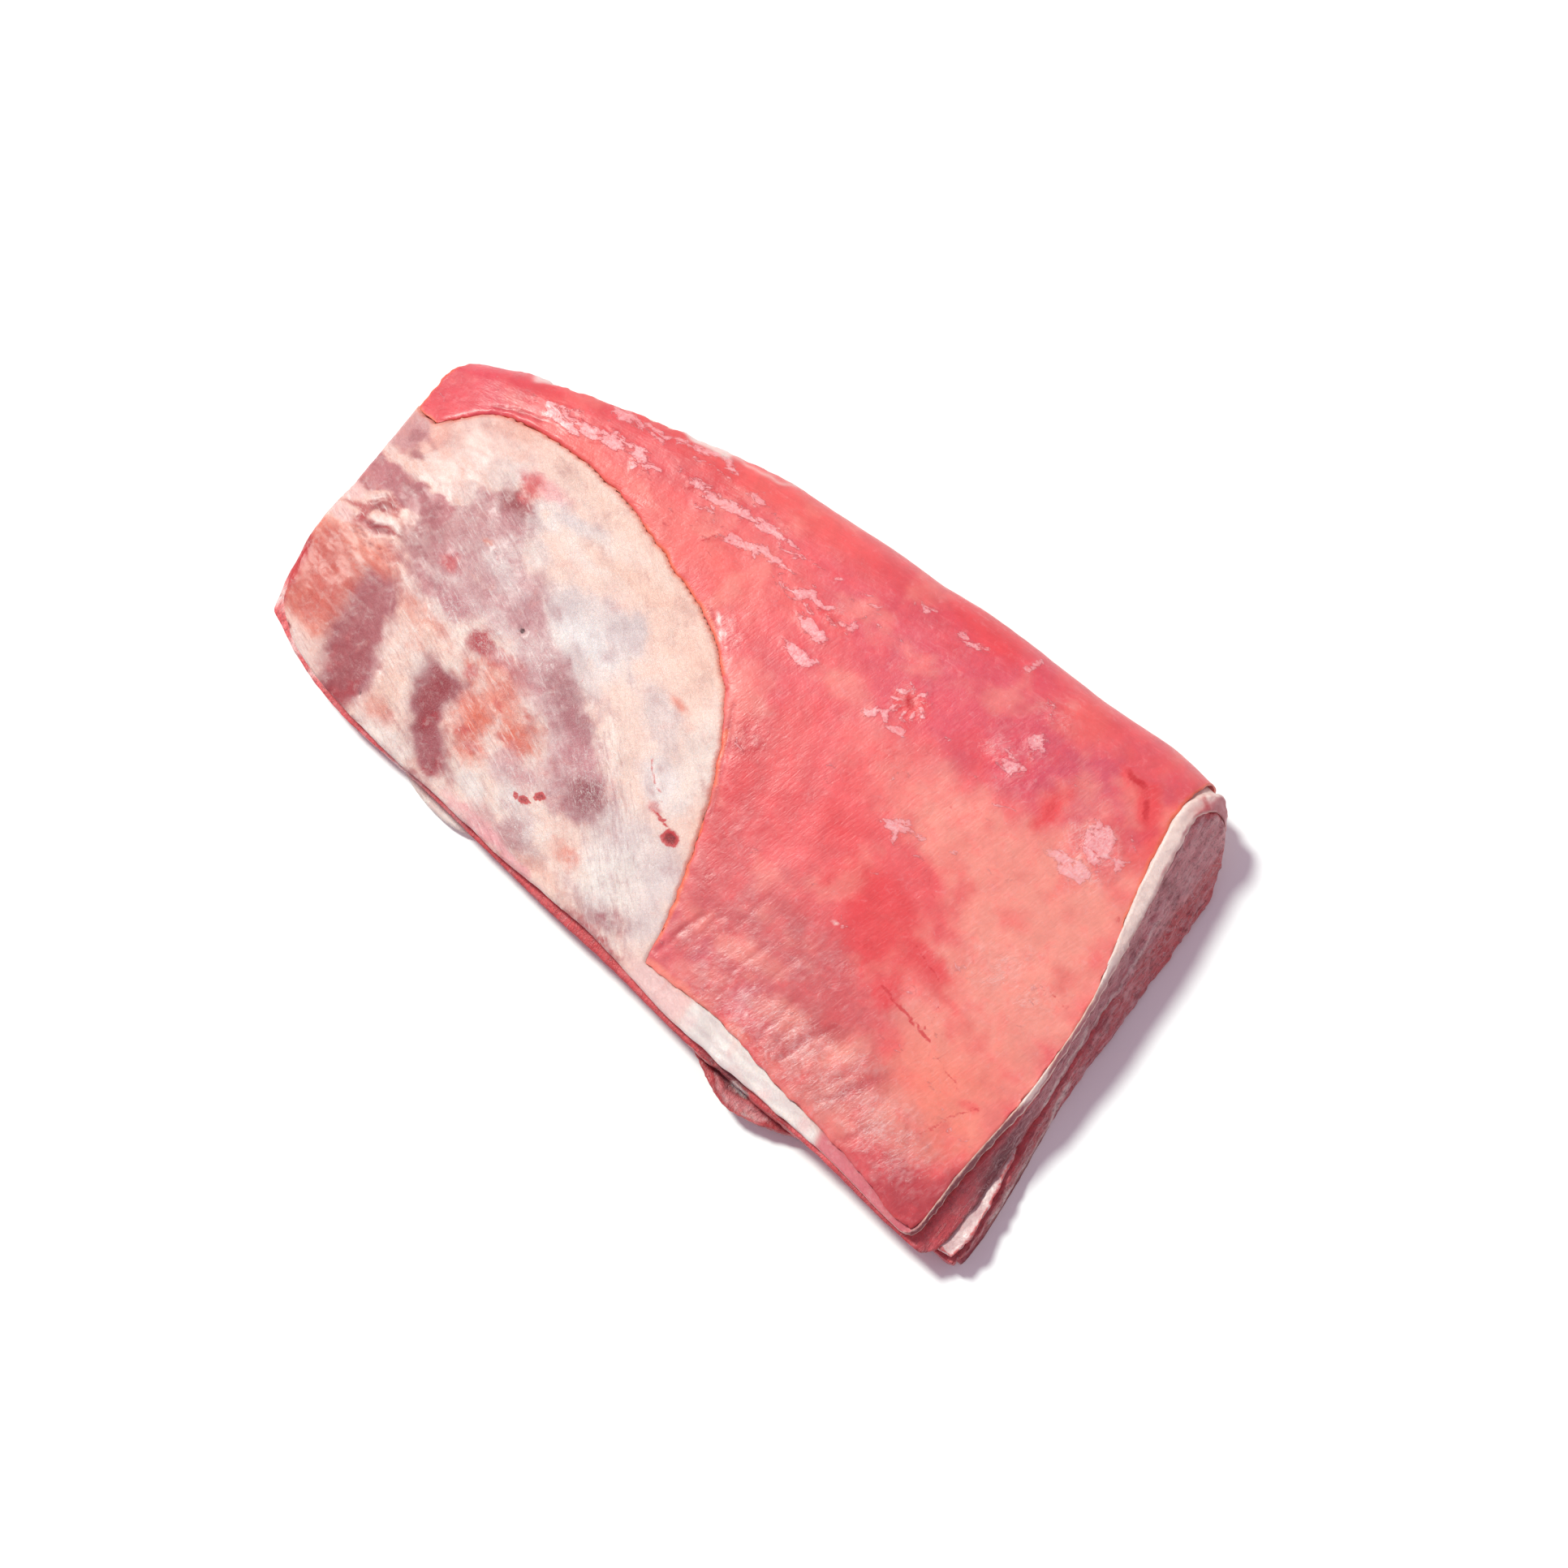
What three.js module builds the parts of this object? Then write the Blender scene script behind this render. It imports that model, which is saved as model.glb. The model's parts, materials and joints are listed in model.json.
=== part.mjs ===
// A raw boneless lamb breast flap: one wide sheet of meat, folded once along its length with the skin
// side out, lying on its lower half. +X runs from the narrow rib end to the wide flank end, +Y from the
// open front edges to the fold, +Z up. The origin is the middle of the base. Sizes are in millimetres.
//
// Four layers run through the sheet, each its own closed solid:
//   skin_muscle  the thin red muscle from under the hide, which covers the top but for one pale lobe
//   fat_cap      the cream fat below it, over the top, round the fold and along the underside
//   lean_meat    the folded lean itself, with a slit where its two halves meet
//   inner_fat    a wedge of fat in that slit, which shows at the front corner of the cut end
//
// A layer is a lattice: stations s along the length, steps across (over the upper half, round the fold,
// back along the lower half) and rows w through its thickness.

import * as THREE from "three";

const { clamp, lerp, smoothstep } = THREE.MathUtils;

// ---- Driving dimensions ----

const SKIN_THICK = 1.6;
const SKIN_EDGE_LOSS = 0.7; // how much thinner the skin muscle is at its free edges
const FAT_TOP_THICK = 3.4;
const FAT_BASE_THICK = 1.8;
const LAYER_GAP = 0.5;
const SLIT_GAP = 0.7;
const SLIT_REACH = 0.66; // how far the slit runs from the front edge towards the fold
const LOWER_SHARE = 0.4; // the lower half's share of the height
const LOWER_EDGE_THICK = 7;
const LOWER_EDGE_WIDTH = 60; // over how much of its width the lower half grows from there to its share
const SWELL_HEIGHT = 0.8;
const CORNER_DROOP = 2.6; // how far the front corner of the cut end sinks
const CUT_END_CLIMB = [0.22, 0.85]; // the part of the way back over which the top climbs at the cut end
const CUT_END_REACH = [40, 134]; // where along X the top changes over to that climb
const SKIN_CORNER = 0.65; // the share of the skin's outline where its arc meets its front edge

// The tongue: a lip of the lower half that comes out from under the front edge and turns up.
const TONGUE = { middle: 64, halfWidth: 18, root: -69, tip: -84, lift: 7.5, thick: 2.6, headroom: 2.5 };
// The wedge of inner fat: where it starts along X, the ramp of its thickness along Y, its front and its
// greatest thickness.
const WEDGE = { start: 88, back: -25, ramp: -70, front: -76, thick: 3.2 };

// Heights along X, as [x, z]: at the shoulder of the fold, and of the top at the front edge.
const SHOULDER_HEIGHT = [[-153, 14], [-138, 19], [-118, 23], [-80, 27], [-40, 29.5], [10, 32],
  [60, 33.6], [90, 33.8], [120, 33], [145, 31.6]];
const FRONT_HEIGHT = [[-152, 12], [-120, 14], [-60, 15.5], [0, 17.5], [50, 20.5], [100, 22.6], [135, 22.6]];
// The outer edge of the fold, as [x, y].
const FOLD_EDGE = [[-153, 53.2], [-146, 56.2], [-138.5, 59.6], [-128, 63.4], [-114, 67.6], [-101, 72.2],
  [-87, 76.3], [-73, 79.2], [-59, 81.5], [-44, 83.7], [-28, 84.4], [-13, 85.6], [3, 87], [18, 86.4],
  [34, 88], [50, 88.3], [66, 87.7], [82, 87.3], [96, 88.5], [109, 88.7], [119, 88.2], [126, 87.2],
  [133, 83], [140, 77], [145, 72]];
// How far the skin muscle reaches round the fold, as [x, share of the half turn].
const SKIN_WRAP = [[-150, 0.5], [-136, 0.42], [-120, 0.27], [-70, 0.28], [-45, 0.45], [0, 0.62], [120, 0.64]];

// Front outlines in plan, as [x, y], from the narrow end to the cut end.
const SKIN_ARC = [[-151.8, 31.6], [-148, 29.2], [-143.2, 28.6], [-139, 32.6], [-134, 38.6], [-128, 43.2],
  [-118, 46.2], [-108, 47], [-96, 46.2], [-82, 46.4], [-70, 42.8], [-52, 36.5], [-40, 33.5],
  [-29, 28.6], [-18.6, 21.2], [-8, 8.6], [-0.5, -4], [5.5, -18], [11, -32], [15.8, -45], [17, -56],
  [19, -65.4]];
const SKIN_FRONT = [[19, -65.4], [30, -64.4], [42, -64], [54, -64.6], [61.5, -66.6], [69, -69.2],
  [80, -70], [90, -70.8], [100, -72.6], [112, -75], [124, -78], [133, -80]];
const FAT_FRONT = [[-141.8, -46], [-134, -51.8], [-127, -54.4], [-118, -57], [-108, -59], [-98, -60.4],
  [-80, -61.9], [-68, -62.4], [-56, -64], [-42, -65.2], [-28, -66], [-12, -66], [2, -67], [14, -69.4],
  [30, -72], [45, -73.8], [58, -74], [70, -75.4], [92, -75.7], [103, -77.2], [113, -78.6], [124, -79.8],
  [133, -80.4]];
const LEAN_FRONT = [[-145.8, -48.6], [-141, -50.4], [-135, -53.4], [-127.7, -56.2], [-118.6, -59],
  [-110, -61], [-102, -62.1], [-92, -62.4], [-80, -62.9], [-68, -63.4], [-56, -65.3], [-42, -66.4],
  [-28, -68], [-14, -69.5], [3, -70.6], [14, -71.2], [24, -73], [34, -74.2], [45, -75.5], [58, -76.3],
  [74, -76.6], [92, -76.8], [103, -78], [113, -79.3], [124, -80.5], [134, -80.9]];
const LOWER_LEAN_FRONT = [[-140, -44.6], [-120, -52], [-90, -57], [-60, -59], [-20, -62.5], [20, -66],
  [40, -70.4], [48, -75.2], [54, -79], [60.5, -82.6], [66.5, -85.2], [71.5, -85.4], [76.5, -80.6],
  [81, -76.4], [90, -74.4], [104, -73.8], [125, -76.6], [148.5, -77.4]];
const LOWER_FAT_FRONT = [[-138, -42], [-112, -50], [-92, -56], [-80, -61], [-73, -63.6], [-67.5, -66.7],
  [-62, -67.8], [-56, -67.4], [-49, -64.6], [-40, -60.5], [-20, -59], [30, -63], [100, -70], [149, -75]];

// Where the layers begin at the narrow end, as [y, x].
const SKIN_START = [[28, -152], [33, -152.4], [40, -152.5], [48, -151.8], [60, -150]];
const FAT_START = [[-47, -141.4], [-42, -144.8], [-35, -147.4], [-27, -150], [-20, -151.3], [-14, -151.8],
  [-8, -150.2], [-3, -150.3], [6, -151], [16, -151.4], [25, -151.7], [33, -152.2], [48, -151.8],
  [60, -150]];
const LEAN_START = [[-49, -145.8], [-42, -148.6], [-35, -150.6], [-26, -152.2], [-19, -152], [-14, -151.6],
  [-8, -149.6], [-3, -149.8], [6, -150.4], [16, -150.8], [25, -151], [48, -150.6], [60, -149]];
const LOWER_START = [[-46, -139.2], [-20, -145.5], [0, -146], [25, -145], [48, -142.5]];

// The slanted cut at the wide end, as [y, x]: it runs from the skin's edge out to the base.
const SKIN_CUT = [[-81, 133.2], [-75, 132.4], [-65, 132], [-58, 132.7], [-47, 132.6], [-33, 134.4],
  [-19, 134.6], [-8, 133.7], [5, 133], [16, 131.2], [27, 127.5], [41, 123], [53, 120.1], [62, 117.7],
  [70, 116.8], [76, 117.6], [82, 119.6]];
const SKIN_ROUND_CUT = [[60, 127], [88, 127]];
const FAT_CUT = [[-81, 134], [-68, 133.4], [-58, 133.6], [-47, 133.8], [-33, 136.4], [-20, 137.2],
  [-8, 134.8], [5, 134], [16, 132.6], [30, 130], [50, 126.6], [66, 122.8], [76, 122.4], [82, 124.4]];
const SLIT_ROOF_CUT = [[-80, 140.6], [-66, 142], [-44, 141], [-20, 139.6], [2, 137.6], [28, 135]];
const SLIT_FLOOR_CUT = [[-80, 147.2], [-68, 147.6], [-54, 146.4], [-44, 144.8], [-28, 141.6], [2, 138.6],
  [28, 135.6]];
const WEDGE_CUT = [[-78, 145], [-69, 146.6], [-58, 145.4], [-48, 143.6], [-40, 141.8], [-25, 140.4]];
const LEAN_BASE_CUT = [[-79, 147.6], [-71, 149.6], [-65, 149.4], [-55, 148.4], [-45, 146.8], [-31, 144.4],
  [-19, 142.6], [-7, 142.7], [8, 143.2], [21, 142.6], [36, 141.7], [50, 141.6], [62, 141.2], [76, 140]];
const FAT_BASE_CUT = [[-77, 148.2], [-71, 150], [-55, 149.2], [-45, 147.6], [-30, 145], [-21, 143.3],
  [-8, 141.6], [10, 141.5], [40, 139.8], [62, 139], [76, 137]];

// ---- Curves ----

// A smooth curve through [position, value] pairs, as a function of the position.
function through(pairs) {
  const last = pairs.length - 1;
  const tangent = (i) => {
    const [a, b] = [pairs[Math.max(i - 1, 0)], pairs[Math.min(i + 1, last)]];
    return (b[1] - a[1]) / (b[0] - a[0]);
  };
  return (position) => {
    const p = clamp(position, pairs[0][0], pairs[last][0]);
    let i = 0;
    while (i < last - 1 && p > pairs[i + 1][0]) i += 1;
    const span = pairs[i + 1][0] - pairs[i][0];
    const f = (p - pairs[i][0]) / span;
    const g = 1 - f;
    return pairs[i][1] * g * g * (1 + 2 * f) + pairs[i + 1][1] * f * f * (1 + 2 * g)
      + span * f * g * (tangent(i) * g - tangent(i + 1) * f);
  };
}

// A smooth outline through [x, y] points, as a function of the share of its length.
function outline(points) {
  const places = points.map(([x, y]) => new THREE.Vector3(x, y, 0));
  const curve = new THREE.CatmullRomCurve3(places, false, "centripetal");
  return (share) => curve.getPointAt(clamp(share, 0, 1));
}

// Two outlines one after the other, with a sharp corner at the given share.
function cornered(first, second, corner) {
  const [before, after] = [outline(first), outline(second)];
  return (share) => (share < corner ? before(share / corner) : after((share - corner) / (1 - corner)));
}

const shoulderHeight = through(SHOULDER_HEIGHT);
const frontHeight = through(FRONT_HEIGHT);
const foldEdge = through(FOLD_EDGE);
const frontEdge = through(LEAN_FRONT);
const skinWrap = through(SKIN_WRAP);

// ---- The outer form of the folded sheet ----

const foldRadius = (x) => shoulderHeight(x) / 2;
const foldCentre = (x) => foldEdge(x) - foldRadius(x);

// How far a place is from the front edge (0) to the line where the fold begins (1).
function wayBack(x, y) {
  return clamp((y - frontEdge(x)) / (foldCentre(x) - frontEdge(x)), 0, 1);
}

function topHeight(x, y) {
  const way = wayBack(x, y);
  const climb = smoothstep(way, ...CUT_END_CLIMB);
  const rise = lerp(1 - (1 - way) ** 2.3, climb, smoothstep(x, ...CUT_END_REACH));
  const swell = SWELL_HEIGHT * Math.sin(x / 31 + 0.6) * Math.cos(y / 27 - 0.4);
  const swellFade = smoothstep(way, 0, 0.2) * (1 - smoothstep(way, 0.8, 1));
  const droop = CORNER_DROOP * smoothstep(x, 108, 136) * (1 - smoothstep(y, -80, -38));
  return lerp(frontHeight(x), shoulderHeight(x), rise) + swell * swellFade - droop;
}

// How much of the tongue there is at a place, from 0 to 1.
function tongueShare(x, y) {
  const off = Math.abs(x - TONGUE.middle);
  const along = 1 - smoothstep(off, TONGUE.halfWidth * 0.45, TONGUE.halfWidth);
  return along * (1 - smoothstep(y, TONGUE.tip, TONGUE.root));
}

const tongueLift = (x, y) => TONGUE.lift * tongueShare(x, y);

function wedgeThickness(x, y) {
  const along = smoothstep(x, WEDGE.start - 20, 140);
  return WEDGE.thick * along * (1 - smoothstep(y, WEDGE.ramp, WEDGE.back));
}

// Height of the upper side of the lower half, away from the tongue.
function lowerHeight(x, y) {
  const full = topHeight(x, y) * LOWER_SHARE;
  const inward = clamp((y - frontEdge(x)) / LOWER_EDGE_WIDTH, 0, 1);
  return lerp(Math.min(LOWER_EDGE_THICK, full), full, inward);
}

function slitFloor(x, y) {
  const lip = TONGUE.thick + tongueLift(x, y);
  return lerp(lowerHeight(x, y), lip, smoothstep(tongueShare(x, y), 0.02, 0.5));
}

// Height of the underside of the upper half, which stands clear of the wedge and of the tongue.
function slitRoof(x, y) {
  const off = Math.abs(x - TONGUE.middle);
  const mouth = 1 - smoothstep(off, TONGUE.halfWidth * 0.5, TONGUE.halfWidth * 1.3);
  const wedge = wedgeThickness(x, y);
  return lowerHeight(x, y) + SLIT_GAP + wedge + 2 * LAYER_GAP * smoothstep(wedge, 0, 0.8)
    + TONGUE.headroom * mouth * (1 - smoothstep(y, TONGUE.tip + 6, TONGUE.root + 9));
}

// ---- Lattices ----

// Shares from 0 to 1 with one more step close to each end, which keeps a rounded edge in its place.
function shares(count, edge) {
  const inner = Array.from({ length: count - 1 }, (_, i) => (i + 1) / count);
  return [0, edge, ...inner, 1 - edge, 1];
}

// The steps across a folded layer, each a part of the section and a share of that part.
function foldedSteps(upperCount, foldCount, lowerCount) {
  const half = (part, count) => shares(count, 0.02).slice(0, -2).map((u) => ({ part, u }));
  const fold = Array.from({ length: foldCount + 1 }, (_, i) => ({ part: "fold", u: i / foldCount }));
  return [...half("upper", upperCount), ...fold, ...half("lower", lowerCount).reverse()];
}

// The closed surface of a lattice, from pointAt(station, step, row) at every place on its outside.
function closedLattice(stations, steps, rows, pointAt) {
  const [ns, nt, nw] = [stations, steps, rows].map((list) => list.length - 1);
  const positions = [];
  const numbers = new Map();
  const vertex = (i, j, k) => {
    const key = `${i},${j},${k}`;
    if (!numbers.has(key)) {
      numbers.set(key, positions.length / 3);
      positions.push(...pointAt(stations[i], steps[j], rows[k]).toArray());
    }
    return numbers.get(key);
  };
  const triangles = [];
  const quad = (a, b, c, d) => triangles.push(a, b, c, a, c, d);
  const both = (near, far) => {
    quad(...near);
    quad(...far.reverse());
  };
  const square = (at) => [at(0, 0), at(1, 0), at(1, 1), at(0, 1)];
  for (let i = 0; i < ns; i += 1) {
    for (let j = 0; j < nt; j += 1) {
      both(square((a, b) => vertex(i + a, j + b, 0)), square((a, b) => vertex(i + a, j + b, nw)));
    }
    for (let k = 0; k < nw; k += 1) {
      both(square((a, b) => vertex(i + b, 0, k + a)), square((a, b) => vertex(i + b, nt, k + a)));
    }
  }
  for (let j = 0; j < nt; j += 1) {
    for (let k = 0; k < nw; k += 1) {
      both(square((a, b) => vertex(0, j + a, k + b)), square((a, b) => vertex(ns, j + a, k + b)));
    }
  }
  const geometry = new THREE.BufferGeometry();
  geometry.setAttribute("position", new THREE.Float32BufferAttribute(positions, 3));
  geometry.setIndex(triangles);
  geometry.computeVertexNormals();
  return geometry;
}

// Where an end curve, x as a function of y, meets the line on which the fold begins.
function endOfFold(curve, x) {
  let met = x;
  for (let pass = 0; pass < 12; pass += 1) met = curve(foldCentre(met));
  return met;
}

// A half of a sheet in plan, as a function of station s and share u of the way from its front outline
// to the fold. The first and last stations bow along the curves of the two ends.
function planOf(front, startPairs, cutPairs) {
  const [start, cut] = [through(startPairs), through(cutPairs)];
  const [backStart, backEnd] = [endOfFold(start, -150), endOfFold(cut, 130)];
  const bow = (curve, corner, backX, u) => {
    const y = lerp(corner.y, foldCentre(backX), u);
    return curve(y) - lerp(corner.x, backX, u);
  };
  return (s, u) => {
    const here = front(s);
    const backX = lerp(backStart, backEnd, s);
    const x = lerp(here.x, backX, u)
      + (1 - s) * bow(start, front(0), backStart, u)
      + s * bow(cut, front(1), backEnd, u);
    return { x, y: lerp(here.y, foldCentre(backX), u) };
  };
}

// A surface that follows the outer form at a depth below it, as a function of station and step.
function formSurface(upperPlan, lowerPlan, depthAt) {
  return (s, { part, u }) => {
    if (part === "fold") {
      const x = lerp(upperPlan(s, 1).x, lowerPlan(s, 1).x, u);
      const radius = foldRadius(x) - depthAt(part, u);
      const turn = Math.PI * u;
      const [y, z] = [foldCentre(x) + radius * Math.sin(turn), foldRadius(x) + radius * Math.cos(turn)];
      return new THREE.Vector3(x, y, z);
    }
    const { x, y } = (part === "upper" ? upperPlan : lowerPlan)(s, u);
    const depth = depthAt(part, u);
    return new THREE.Vector3(x, y, part === "upper" ? topHeight(x, y) - depth : depth + tongueLift(x, y));
  };
}

// The wall of the slit, whose end far inside the sheet is a narrow half turn.
function slitSurface(roofPlan, floorPlan) {
  return (s, { part, u }) => {
    if (part === "fold") {
      const { x, y } = roofPlan(s, SLIT_REACH);
      const radius = SLIT_GAP / 2;
      const turn = Math.PI * u;
      const endX = lerp(x, floorPlan(s, SLIT_REACH).x, u);
      const z = slitFloor(x, y) + radius + radius * Math.cos(turn);
      return new THREE.Vector3(endX, y + radius * Math.sin(turn), z);
    }
    const { x, y } = (part === "upper" ? roofPlan : floorPlan)(s, u * SLIT_REACH);
    return new THREE.Vector3(x, y, part === "upper" ? slitRoof(x, y) : slitFloor(x, y));
  };
}

// ---- Depths of the layers below the outer form ----

// The fat lies right at the outside along the underside, where no skin muscle covers it.
function fatOuterDepth(part, u) {
  const covered = SKIN_THICK + LAYER_GAP;
  if (part === "fold") return covered * (1 - smoothstep(u, 0.7, 1));
  return part === "upper" ? covered : 0;
}

function fatInnerDepth(part, u) {
  const share = { upper: 0, fold: smoothstep(u, 0.3, 1), lower: 1 }[part];
  return fatOuterDepth(part, u) + lerp(FAT_TOP_THICK, FAT_BASE_THICK, share);
}

const leanOuterDepth = (part, u) => fatInnerDepth(part, u) + LAYER_GAP;

// ---- The layers ----

// Stations lie closer together at the narrow end, where the outline turns most.
const STATIONS = [0, 0.012, 0.028, 0.05, 0.075, ...shares(20, 0.012).slice(3)];

function skinMuscle() {
  const plan = planOf(cornered(SKIN_ARC, SKIN_FRONT, SKIN_CORNER), SKIN_START, SKIN_CUT);
  const roundPlan = planOf(outline(FAT_FRONT), LOWER_START, SKIN_ROUND_CUT);
  const inner = formSurface(plan, roundPlan, () => SKIN_THICK);
  const outer = (s, step) => {
    const inset = Math.min(s, 1 - s, step.part === "upper" ? step.u : (1 - step.wrap) / 2);
    return formSurface(plan, roundPlan, () => SKIN_EDGE_LOSS * (1 - smoothstep(inset, 0, 0.05)))(s, step);
  };
  const over = shares(9, 0.025).slice(0, -2).map((u) => ({ part: "upper", u }));
  const round = shares(8, 0.05).slice(2).map((wrap) => ({ part: "fold", wrap }));
  const placed = (s, step) => ({ ...step, u: step.u ?? step.wrap * skinWrap(plan(s, 1).x) });
  const steps = [...over, { part: "fold", wrap: 0 }, ...round];
  return closedLattice(STATIONS, steps, [0, 1], (s, step, w) =>
    outer(s, placed(s, step)).lerp(inner(s, placed(s, step)), w));
}

function fatCap() {
  const upper = (cut) => planOf(outline(FAT_FRONT), FAT_START, cut);
  const lower = planOf(outline(LOWER_FAT_FRONT), LOWER_START, FAT_BASE_CUT);
  const outer = formSurface(upper(SKIN_CUT), lower, fatOuterDepth);
  const inner = formSurface(upper(FAT_CUT), lower, fatInnerDepth);
  return closedLattice(STATIONS, foldedSteps(9, 11, 5), [0, 1], (s, step, w) =>
    outer(s, step).lerp(inner(s, step), w));
}

function leanMeat() {
  const upper = (cut) => planOf(outline(LEAN_FRONT), LEAN_START, cut);
  const lower = (cut) => planOf(outline(LOWER_LEAN_FRONT), LOWER_START, cut);
  const outer = formSurface(upper(FAT_CUT), lower(LEAN_BASE_CUT), leanOuterDepth);
  const wall = slitSurface(upper(SLIT_ROOF_CUT), lower(SLIT_FLOOR_CUT));
  return closedLattice(STATIONS, foldedSteps(8, 11, 6), [0, 0.33, 0.67, 1], (s, step, w) =>
    outer(s, step).lerp(wall(s, step), w));
}

function innerFat() {
  const cut = through(WEDGE_CUT);
  const back = (WEDGE.back + WEDGE.ramp) / 2 + 10;
  const pointAt = (s, u, w) => {
    const y = lerp(WEDGE.front, back, u);
    const x = lerp(WEDGE.start, cut(y), s);
    const z = w ? slitFloor(x, y) + LAYER_GAP : slitRoof(x, y) - LAYER_GAP;
    return new THREE.Vector3(x, y, z);
  };
  return closedLattice(shares(6, 0.03), shares(6, 0.03), [0, 1], pointAt);
}

const material = (color, roughness) => new THREE.MeshStandardMaterial({ color, roughness, metalness: 0 });

const LAYERS = {
  skin_muscle: [skinMuscle, material("#e8656a", 0.35)],
  fat_cap: [fatCap, material("#f2dccb", 0.4)],
  lean_meat: [leanMeat, material("#8f3d48", 0.45)],
  inner_fat: [innerFat, material("#efe0d2", 0.4)],
};

const flap = new THREE.Group();
for (const [name, [shape, look]] of Object.entries(LAYERS)) {
  const mesh = new THREE.Mesh(shape(), look);
  mesh.name = name;
  flap.add(mesh);
}
const middle = new THREE.Box3().setFromObject(flap).getCenter(new THREE.Vector3());
flap.position.set(-middle.x, -middle.y, 0);

export default flap;
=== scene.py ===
"""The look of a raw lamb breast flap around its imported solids. Lengths are in millimetres until the end."""

import itertools
import json
import math

import bmesh
import bpy
import numpy as np
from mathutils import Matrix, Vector
from mathutils.bvhtree import BVHTree
from mathutils.kdtree import KDTree

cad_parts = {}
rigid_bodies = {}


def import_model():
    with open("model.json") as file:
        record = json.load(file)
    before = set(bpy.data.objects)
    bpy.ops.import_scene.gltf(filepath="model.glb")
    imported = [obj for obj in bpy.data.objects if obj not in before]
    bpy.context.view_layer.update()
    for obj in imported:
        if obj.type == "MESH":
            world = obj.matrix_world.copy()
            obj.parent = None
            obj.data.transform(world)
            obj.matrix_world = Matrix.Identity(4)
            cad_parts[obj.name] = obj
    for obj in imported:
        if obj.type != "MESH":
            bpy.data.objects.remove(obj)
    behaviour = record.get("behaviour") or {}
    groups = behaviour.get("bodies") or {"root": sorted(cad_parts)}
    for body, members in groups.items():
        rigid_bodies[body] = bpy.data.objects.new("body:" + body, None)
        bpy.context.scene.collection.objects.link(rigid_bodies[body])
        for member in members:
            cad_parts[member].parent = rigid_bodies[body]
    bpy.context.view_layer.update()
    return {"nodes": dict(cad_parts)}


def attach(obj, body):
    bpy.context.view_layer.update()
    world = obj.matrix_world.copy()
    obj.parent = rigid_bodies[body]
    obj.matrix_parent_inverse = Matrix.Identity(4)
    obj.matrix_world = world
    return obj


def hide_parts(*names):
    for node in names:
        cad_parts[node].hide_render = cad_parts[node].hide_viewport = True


for leftover in list(bpy.data.objects):
    bpy.data.objects.remove(leftover)
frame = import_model()

MM = 0.001
BODY = "root"

# The photograph's eye. Features are placed by where they are seen on a level plane through the meat.
DRAWING_SHIFT = np.array([1.35, -2.365, 0.0])
EYE = np.array([158.0, -172.0, 927.0])
SEEN_PLANE = 22.0


def seen(points):
    """Where points of the part show on the seen plane, in the drawing's x and y."""
    drawn = points - DRAWING_SHIFT
    reach = (EYE[2] - SEEN_PLANE) / (EYE[2] - drawn[:, 2:3])
    return EYE[:2] + (drawn[:, :2] - EYE[:2]) * reach


# ---------------------------------------------------------------- noise and fields on points

SHUFFLE = np.random.default_rng(11).permutation(256)
SLOPES = np.random.default_rng(12).normal(size=(256, 3))
SLOPES /= np.linalg.norm(SLOPES, axis=1)[:, None]


def waves(points, size, seed=0):
    """Smooth noise of about -1 to 1, with lumps of about the given size."""
    if points.shape[1] == 2:
        points = np.column_stack([points, np.zeros(len(points))])
    place = points / size + 31.7 * seed
    cell = np.floor(place).astype(int)
    part = place - cell
    ease = part ** 3 * (part * (part * 6 - 15) + 10)
    total = np.zeros(len(points))
    for corner in itertools.product((0, 1), repeat=3):
        at = cell + corner
        pick = SHUFFLE[(SHUFFLE[(SHUFFLE[at[:, 0] & 255] + at[:, 1]) & 255] + at[:, 2]) & 255]
        slope = ((part - corner) * SLOPES[pick]).sum(1)
        total += slope * np.prod(np.where(corner, ease, 1 - ease), axis=1)
    return total * 1.6


def rough_waves(points, size, octaves, seed=0):
    """Noise summed over octaves, each half as large and half as strong."""
    return sum(waves(points, size / 2 ** k, seed + k) / 2 ** k for k in range(octaves))


def smooth(value, low, high):
    """0 below low, 1 above high and eased between them."""
    share = np.clip((value - low) / (high - low), 0, 1)
    return share * share * (3 - 2 * share)


def turned(offsets, degrees):
    """Offsets seen from axes that are turned by so many degrees."""
    a = math.radians(degrees)
    x, y = offsets[:, 0], offsets[:, 1]
    return x * math.cos(a) + y * math.sin(a), -x * math.sin(a) + y * math.cos(a)


def fibres(spots, turn, long, wide, seed):
    """Noise of -1 to 1 that is drawn out along a direction."""
    u, v = turned(spots, turn)
    return waves(np.column_stack([u / long, v / wide]), 1.0, seed)


def ridges(spots, turn, long, wide, seed):
    """1 on winding ridges along a direction, and 0 between them."""
    return np.clip(1 - 3.2 * np.abs(fibres(spots, turn, long, wide, seed)), 0, 1)


def bent(spots, size, amount, seed):
    """Spots moved about by noise, so that what is placed on them gets uneven outlines."""
    return spots + amount * np.column_stack([rough_waves(spots, size, 3, seed + k) for k in (0, 4)])


def blobs(spots, rows):
    """Closeness to oval spots of rows (x, y, half length, half width, turn, strength)."""
    field = np.zeros(len(spots))
    for x, y, long, wide, turn, strength in rows:
        u, v = turned(spots - (x, y), turn)
        field = np.maximum(field, strength * smooth(-np.hypot(u / long, v / wide), -1.4, -0.3))
    return field


def line_distance(spots, line):
    """Each spot's distance from an open line of points."""
    best = np.full(len(spots), 1e9)
    for a, b in zip(np.array(line[:-1], float), np.array(line[1:], float)):
        along = b - a
        share = np.clip(((spots - a) @ along) / max(along @ along, 1e-9), 0, 1)
        best = np.minimum(best, np.linalg.norm(spots - a - share[:, None] * along, axis=1))
    return best


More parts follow.
